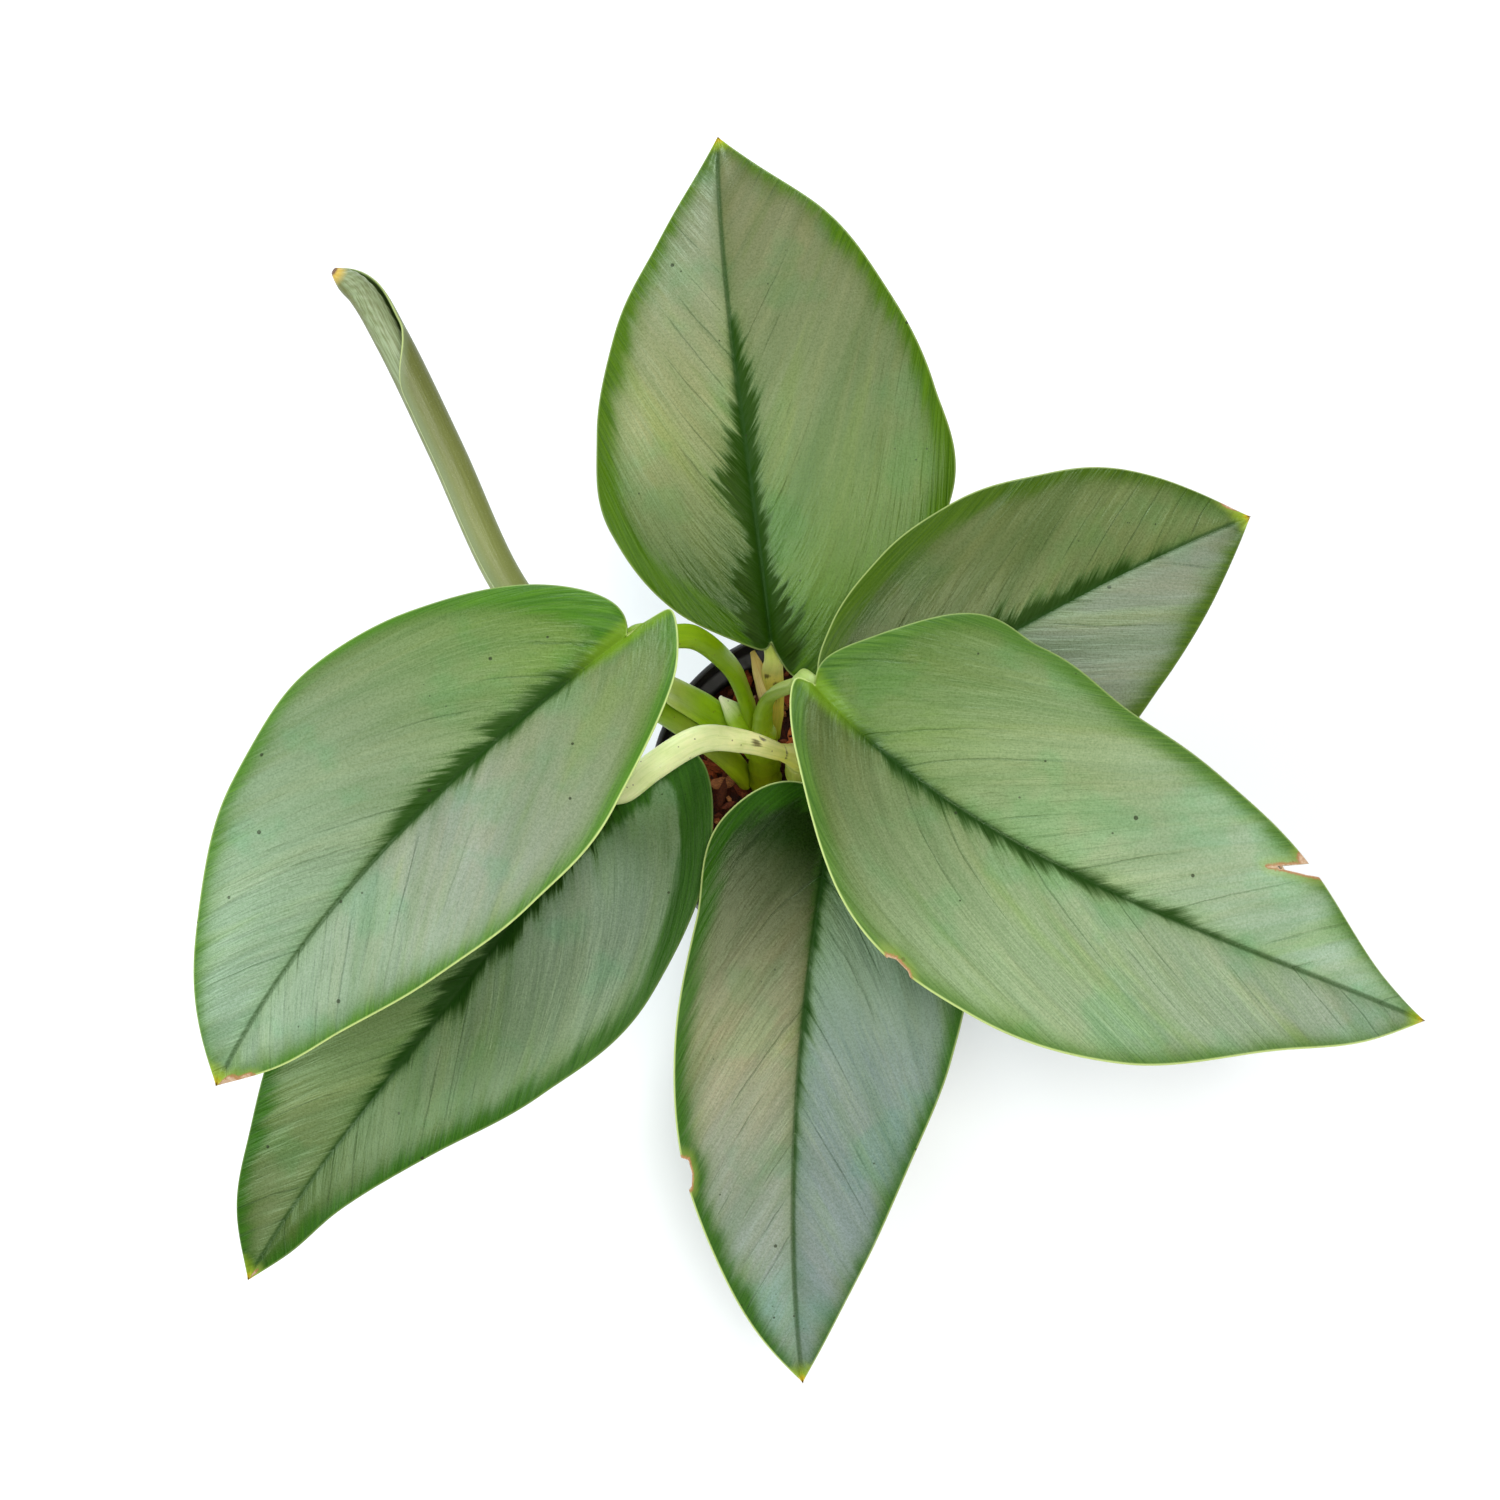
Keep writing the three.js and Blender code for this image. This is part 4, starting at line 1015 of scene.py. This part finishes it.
# petiole_bright, petiole_mid, petiole_grey and petiole_pale are painted lighter than the petioles' own
# colours: painted light that makes up for the shade of the leaves over the crown.
petiole_bright = shade(130, 166, 4)
petiole_mid = shade(134, 166, 22)
petiole_grey = shade(164, 186, 90)
petiole_pale = shade(240, 248, 182)
knuckle_yellow = shade(240, 234, 110)
petioles = {
    "back": (
        [[-14, 9, 94, 5.4], [-13, 15.2, 105, 5], [-13.6, 17.4, 117, 5.4]],
        [stem_olive, shade(224, 200, 84), shade(214, 196, 84), shade(230, 226, 136), petiole_mid], 0.3,
    ),
    "back_right": (
        [[-2.5, -0.5, 86, 5.4], [1, 0.6, 104, 5.2], [2, 0.2, 118, 5], [3, -2.5, 132, 4.8]],
        [stem_olive, petiole_mid, petiole_mid, petiole_bright], 0.2,
    ),
    "right": (
        [[-16, 6.4, 102, 6.4], [-15.8, 8.8, 114, 5], [-14.2, 9.2, 124, 4.5], [-8.7, 5.5, 142, 4.3]],
        [stem_green, petiole_mid, petiole_grey, petiole_grey, shade(160, 178, 108)], 0.3,
    ),
    "front": (
        [[-5.5, -3.5, 85, 5.6], [-3.5, -9, 98, 5.2], [-1.5, -12, 111, 5]],
        [stem_olive, petiole_mid, petiole_mid, petiole_bright], 0.2,
    ),
    "left": (
        [[-17.5, 9, 95, 5.4], [-20.4, 13.2, 114, 5.4], [-23.8, 13.9, 132, 5.6], [-31.8, 13.6, 151, 5.8],
         [-37.5, 11.3, 157.5, 5.4]],
        [stem_green, *[petiole_bright] * 4, shade(134, 168, 40)], 0.25,
    ),
    "front_left": (
        [[-7.3, -1, 103.4, 6.2], [-7.8, -1, 107.5, 5.8], [-12, -2, 115, 4.8], [-20.5, -2.3, 124, 6],
         [-30.5, -4, 130.5, 6.7], [-41, -11, 132.5, 6.9], [-48.5, -15.5, 127.5, 6.2]],
        [shade(196, 202, 90), knuckle_yellow, shade(242, 240, 170), petiole_pale, petiole_pale,
         petiole_pale, petiole_mid], 0.12,
    ),
}
# brown scars: place on the length, degrees round from the left side, half length and half width
petiole_scars = {
    "front_left": [(0.30, 70, 2.2, 1.3), (0.27, 96, 1.4, 0.9), (0.155, 60, 0.5, 3.0)],
    "back": [(0.34, 70, 2.6, 2.0), (0.5, 110, 2.0, 1.6), (0.62, 60, 2.0, 1.2)],
}
for key, (path, tones, channel) in petioles.items():
    leaf = leaves[key]
    above = key == "front_left"
    rise = petiole_end / 2 * math.tan(math.radians(fold[0])) if above else petiole_dip
    clear = blade_seat + seat + petiole_end * stalk_depth / 2 + rise
    place, _, up = frame_at(leaf, midrib(leaf), petiole_meets)
    ends = place + up * (clear if above else -clear)
    whole = path + [[*end, petiole_end] for end in ends]
    knots = ((0.08, 0.16), (0.16, -0.08)) if above else ((0.16, 0.08), (0.93, 0.08))
    scars = petiole_scars.get(key, [])
    stalk = make_stalk(f"{key}_petiole", whole, tones, stalk_depth, channel, knots, 0, leaf["seed"], scars)
    settle(stalk, stalk_finish, "stalk", f"petiole_{key}")
rolled_petiole = make_stalk(
    "rolled_leaf_petiole",
    [[-19.5, 3.6, 70, 4.8], [-22.3, 3.7, 84, 6.4], [-27.5, 4.7, 97, 6.3], [-41.5, 6.7, 122, 5.9],
     [-55, 9, 136.5, 5.5], [-61.5, 11.4, 142.4, 5.4], [-64.4, 14.6, 145, 5.6]],
    [stem_olive, stem_green, shade(140, 154, 62), petiole_mid, petiole_mid, petiole_grey],
    stalk_depth, 0.2, seed=21,
)
settle(rolled_petiole, stalk_finish, "stalk", "petiole_rolled")


# The newest leaf, still rolled. One thin blade wound about itself into a quill, with its outer
# margin swinging open into a slanted mouth near the hooked tip. Its petiole ends in its foot.
roll_axis = [
    [-64, 14.2, 144.5], [-75, 27, 151.5], [-88.2, 53.7, 164], [-99.7, 75.6, 175.5], [-105.5, 84, 182],
    [-111, 86.5, 187],
]
roll_stations = np.array([0, 0.12, 0.3, 0.6, 0.8, 0.92, 1])
roll_radii = [3.3, 4.3, 4.6, 4.5, 4.2, 3.2, 0.8]
roll_sheet = 0.6
roll_tighten = 0.3
# degrees round the axis: where the outer margin lies, how far it swings open in two stretches of
# the length, and where the inner margin lies at the foot and at the tip
roll_outer = 135
roll_swing = (100, 55)
roll_mouth = (0.5, 0.64, 1)
roll_inner = (-385, -350)
roll_crinkled = -200
roll_crinkle = 0.07
roll_rows = 120
roll_columns = 110
roll_lip = 3

line = smooth_line(roll_axis, 40)
along = np.gradient(line, axis=0)
rows, columns = np.linspace(0, 1, roll_rows + 1), np.linspace(1, 0, roll_columns + 1)
t, part = (grid.ravel() for grid in np.meshgrid(rows, columns))
at = t * (len(line) - 1)
centre, run = (between(at, np.arange(len(line)), found) for found in (line, along))
run = unit(run)
right = unit(np.stack([run[:, 1], -run[:, 0], np.zeros(len(t))], 1))
radius = through(roll_stations, roll_radii, t)
start = roll_outer - roll_swing[0] * soft_step(t, *roll_mouth[:2])
start -= roll_swing[1] * soft_step(t, *roll_mouth[1:])
end = from_to(roll_inner, t)
degrees = start + (end - start) * part
turn = np.radians(degrees)[:, None]
away = right * np.cos(turn) + np.cross(right, run) * np.sin(turn)
row, column = t * roll_rows, part * roll_columns
crinkle = np.where(degrees < roll_crinkled, roll_crinkle * np.sin(1.1 * row + 0.4 * column), 0)
reach = radius * (1 - roll_tighten * (roll_outer - degrees) / 360) + crinkle
lip_round = np.sqrt(1 - np.clip(1 - column / roll_lip, 0, 1) ** 2) + 0.25
half = np.minimum(roll_sheet, 0.6 * radius) / 2 * np.minimum(1, lip_round)
outer, inner = (centre + away * (reach + side * half)[:, None] for side in (1, -1))
values = {
    "turns": (roll_outer - degrees) / 360, "share": t, "lip": np.radians(start - degrees) * radius,
}
shape = (roll_columns + 1, roll_rows + 1)
rolled_piece = make_shell("rolled_new_leaf", outer, inner, shape, values, np.zeros(len(t), bool))

# Young leaf skin: pale yellow-green, silvery beside its margin, yellow at the tip.
rolled_finish, shader = new_finish("young_leaf_skin")
turns = surface_value("turns")
share = surface_value("share")
lip = surface_value("lip")
round_roll = put("CombineXYZ", {0: product(turns, 30), 1: product(share, 9)})[0]
streaks = grain(round_roll, (1.6, 1, 1), 3, 0.6)
cells = grain(place_in_mm(), (3.4, 3.4, 3.4), 2, 0.6)
colour = painted(
    shade(92, 98, 38), (streaks, (0.35, 0.65), (102, 108, 46)), (share, (0.0, 0.6, 0.8, 0), (138, 146, 78)),
    (cells, (0.55, 0.78, 0, 0.3), (176, 184, 142)), (lip, (0.5, 3.0, 0.6, 0), (124, 138, 98)),
    (lip, (0.15, 0.5, 0.8, 0), (176, 190, 116)),
)
colour = tinted(product(surface_value("under"), 0.8), colour, shade(74, 104, 44))
silvered = product(rises(turns, 0.9, 0.98), rises(streaks, 0.4, 0.62, 0.35, 0.9))
colour = tinted(silvered, colour, shade(150, 166, 126))
colour = painted(colour, (share, (0.93, 0.985), (200, 168, 62)), (share, (0.985, 1.0), (110, 70, 36)))
plug(shader, {
    "Base Color": colour, "Roughness": 0.42,
    "Normal": relief(sums("ADD", streaks, product(cells, 0.4)), 0.00016, 0.8),
})
settle(rolled_piece, rolled_finish, "leaf", "leaf_rolled")


# The studio. A plain pale table that the pot stands on, a soft light overhead, two window-like
# ones behind and at the left, a weak fill from in front, and even pale surroundings. The camera
# looks steeply down from in front, as the photograph's did.
look_down = 72
photo_pixels = 1500
focal_pixels = 2060.6
bpy.ops.mesh.primitive_plane_add(size=30, location=(0, 0, 0))
table = bpy.context.object
table.name = "pale_table"
table_finish, shader = new_finish("pale_table_top")
dapple = grain(place_in_mm(), (0.01, 0.01, 0.01))
plug(shader, {
    "Base Color": painted(shade(246, 246, 245), (dapple, (0.3, 0.7), (250, 250, 250))), "Roughness": 0.7,
})
table.data.materials.append(table_finish)


def soft_light(name, place, aim, size, watts, colour):
    light = bpy.data.lights.new(name, "AREA")
    light.shape = "DISK"
    light.size = size
    light.energy = watts
    light.color = colour
    lamp = bpy.data.objects.new(name, light)
    lamp.location = place
    lamp.rotation_euler = (Vector(aim) - Vector(place)).to_track_quat("-Z", "Y").to_euler()
    bpy.context.scene.collection.objects.link(lamp)


soft_light("overhead_softbox", (0.08, -0.29, 1.47), (0, 0, 0.12), 0.35, 8.5, (1, 0.985, 0.96))
soft_light("back_window", (-0.05, 1.5, 0.95), (0, 0, 0.14), 0.7, 15, (0.86, 0.94, 1))
soft_light("left_window", (-1.1, -0.15, 1.12), (0, 0, 0.14), 0.85, 15, (0.86, 0.94, 1))
soft_light("front_fill", (1.2, -1.0, 0.9), (0, 0, 0.14), 1.2, 9, (1, 0.97, 0.93))
world = bpy.data.worlds.new("pale_room")
world.use_nodes = True
plug(world.node_tree.nodes["Background"], {"Color": (0.95, 0.97, 1, 1), "Strength": 0.37})
bpy.context.scene.world = world
bpy.context.scene.view_settings.view_transform = "Standard"

camera = bpy.data.objects.new("camera", bpy.data.cameras.new("camera"))
camera.location = (-0.019, -0.1551, 0.5875)
camera.rotation_euler = (math.radians(90 - look_down), 0, 0)
camera.data.sensor_width = 36
camera.data.lens = 36 * focal_pixels / photo_pixels
camera.data.clip_start = 0.01
bpy.context.scene.collection.objects.link(camera)
bpy.context.scene.camera = camera
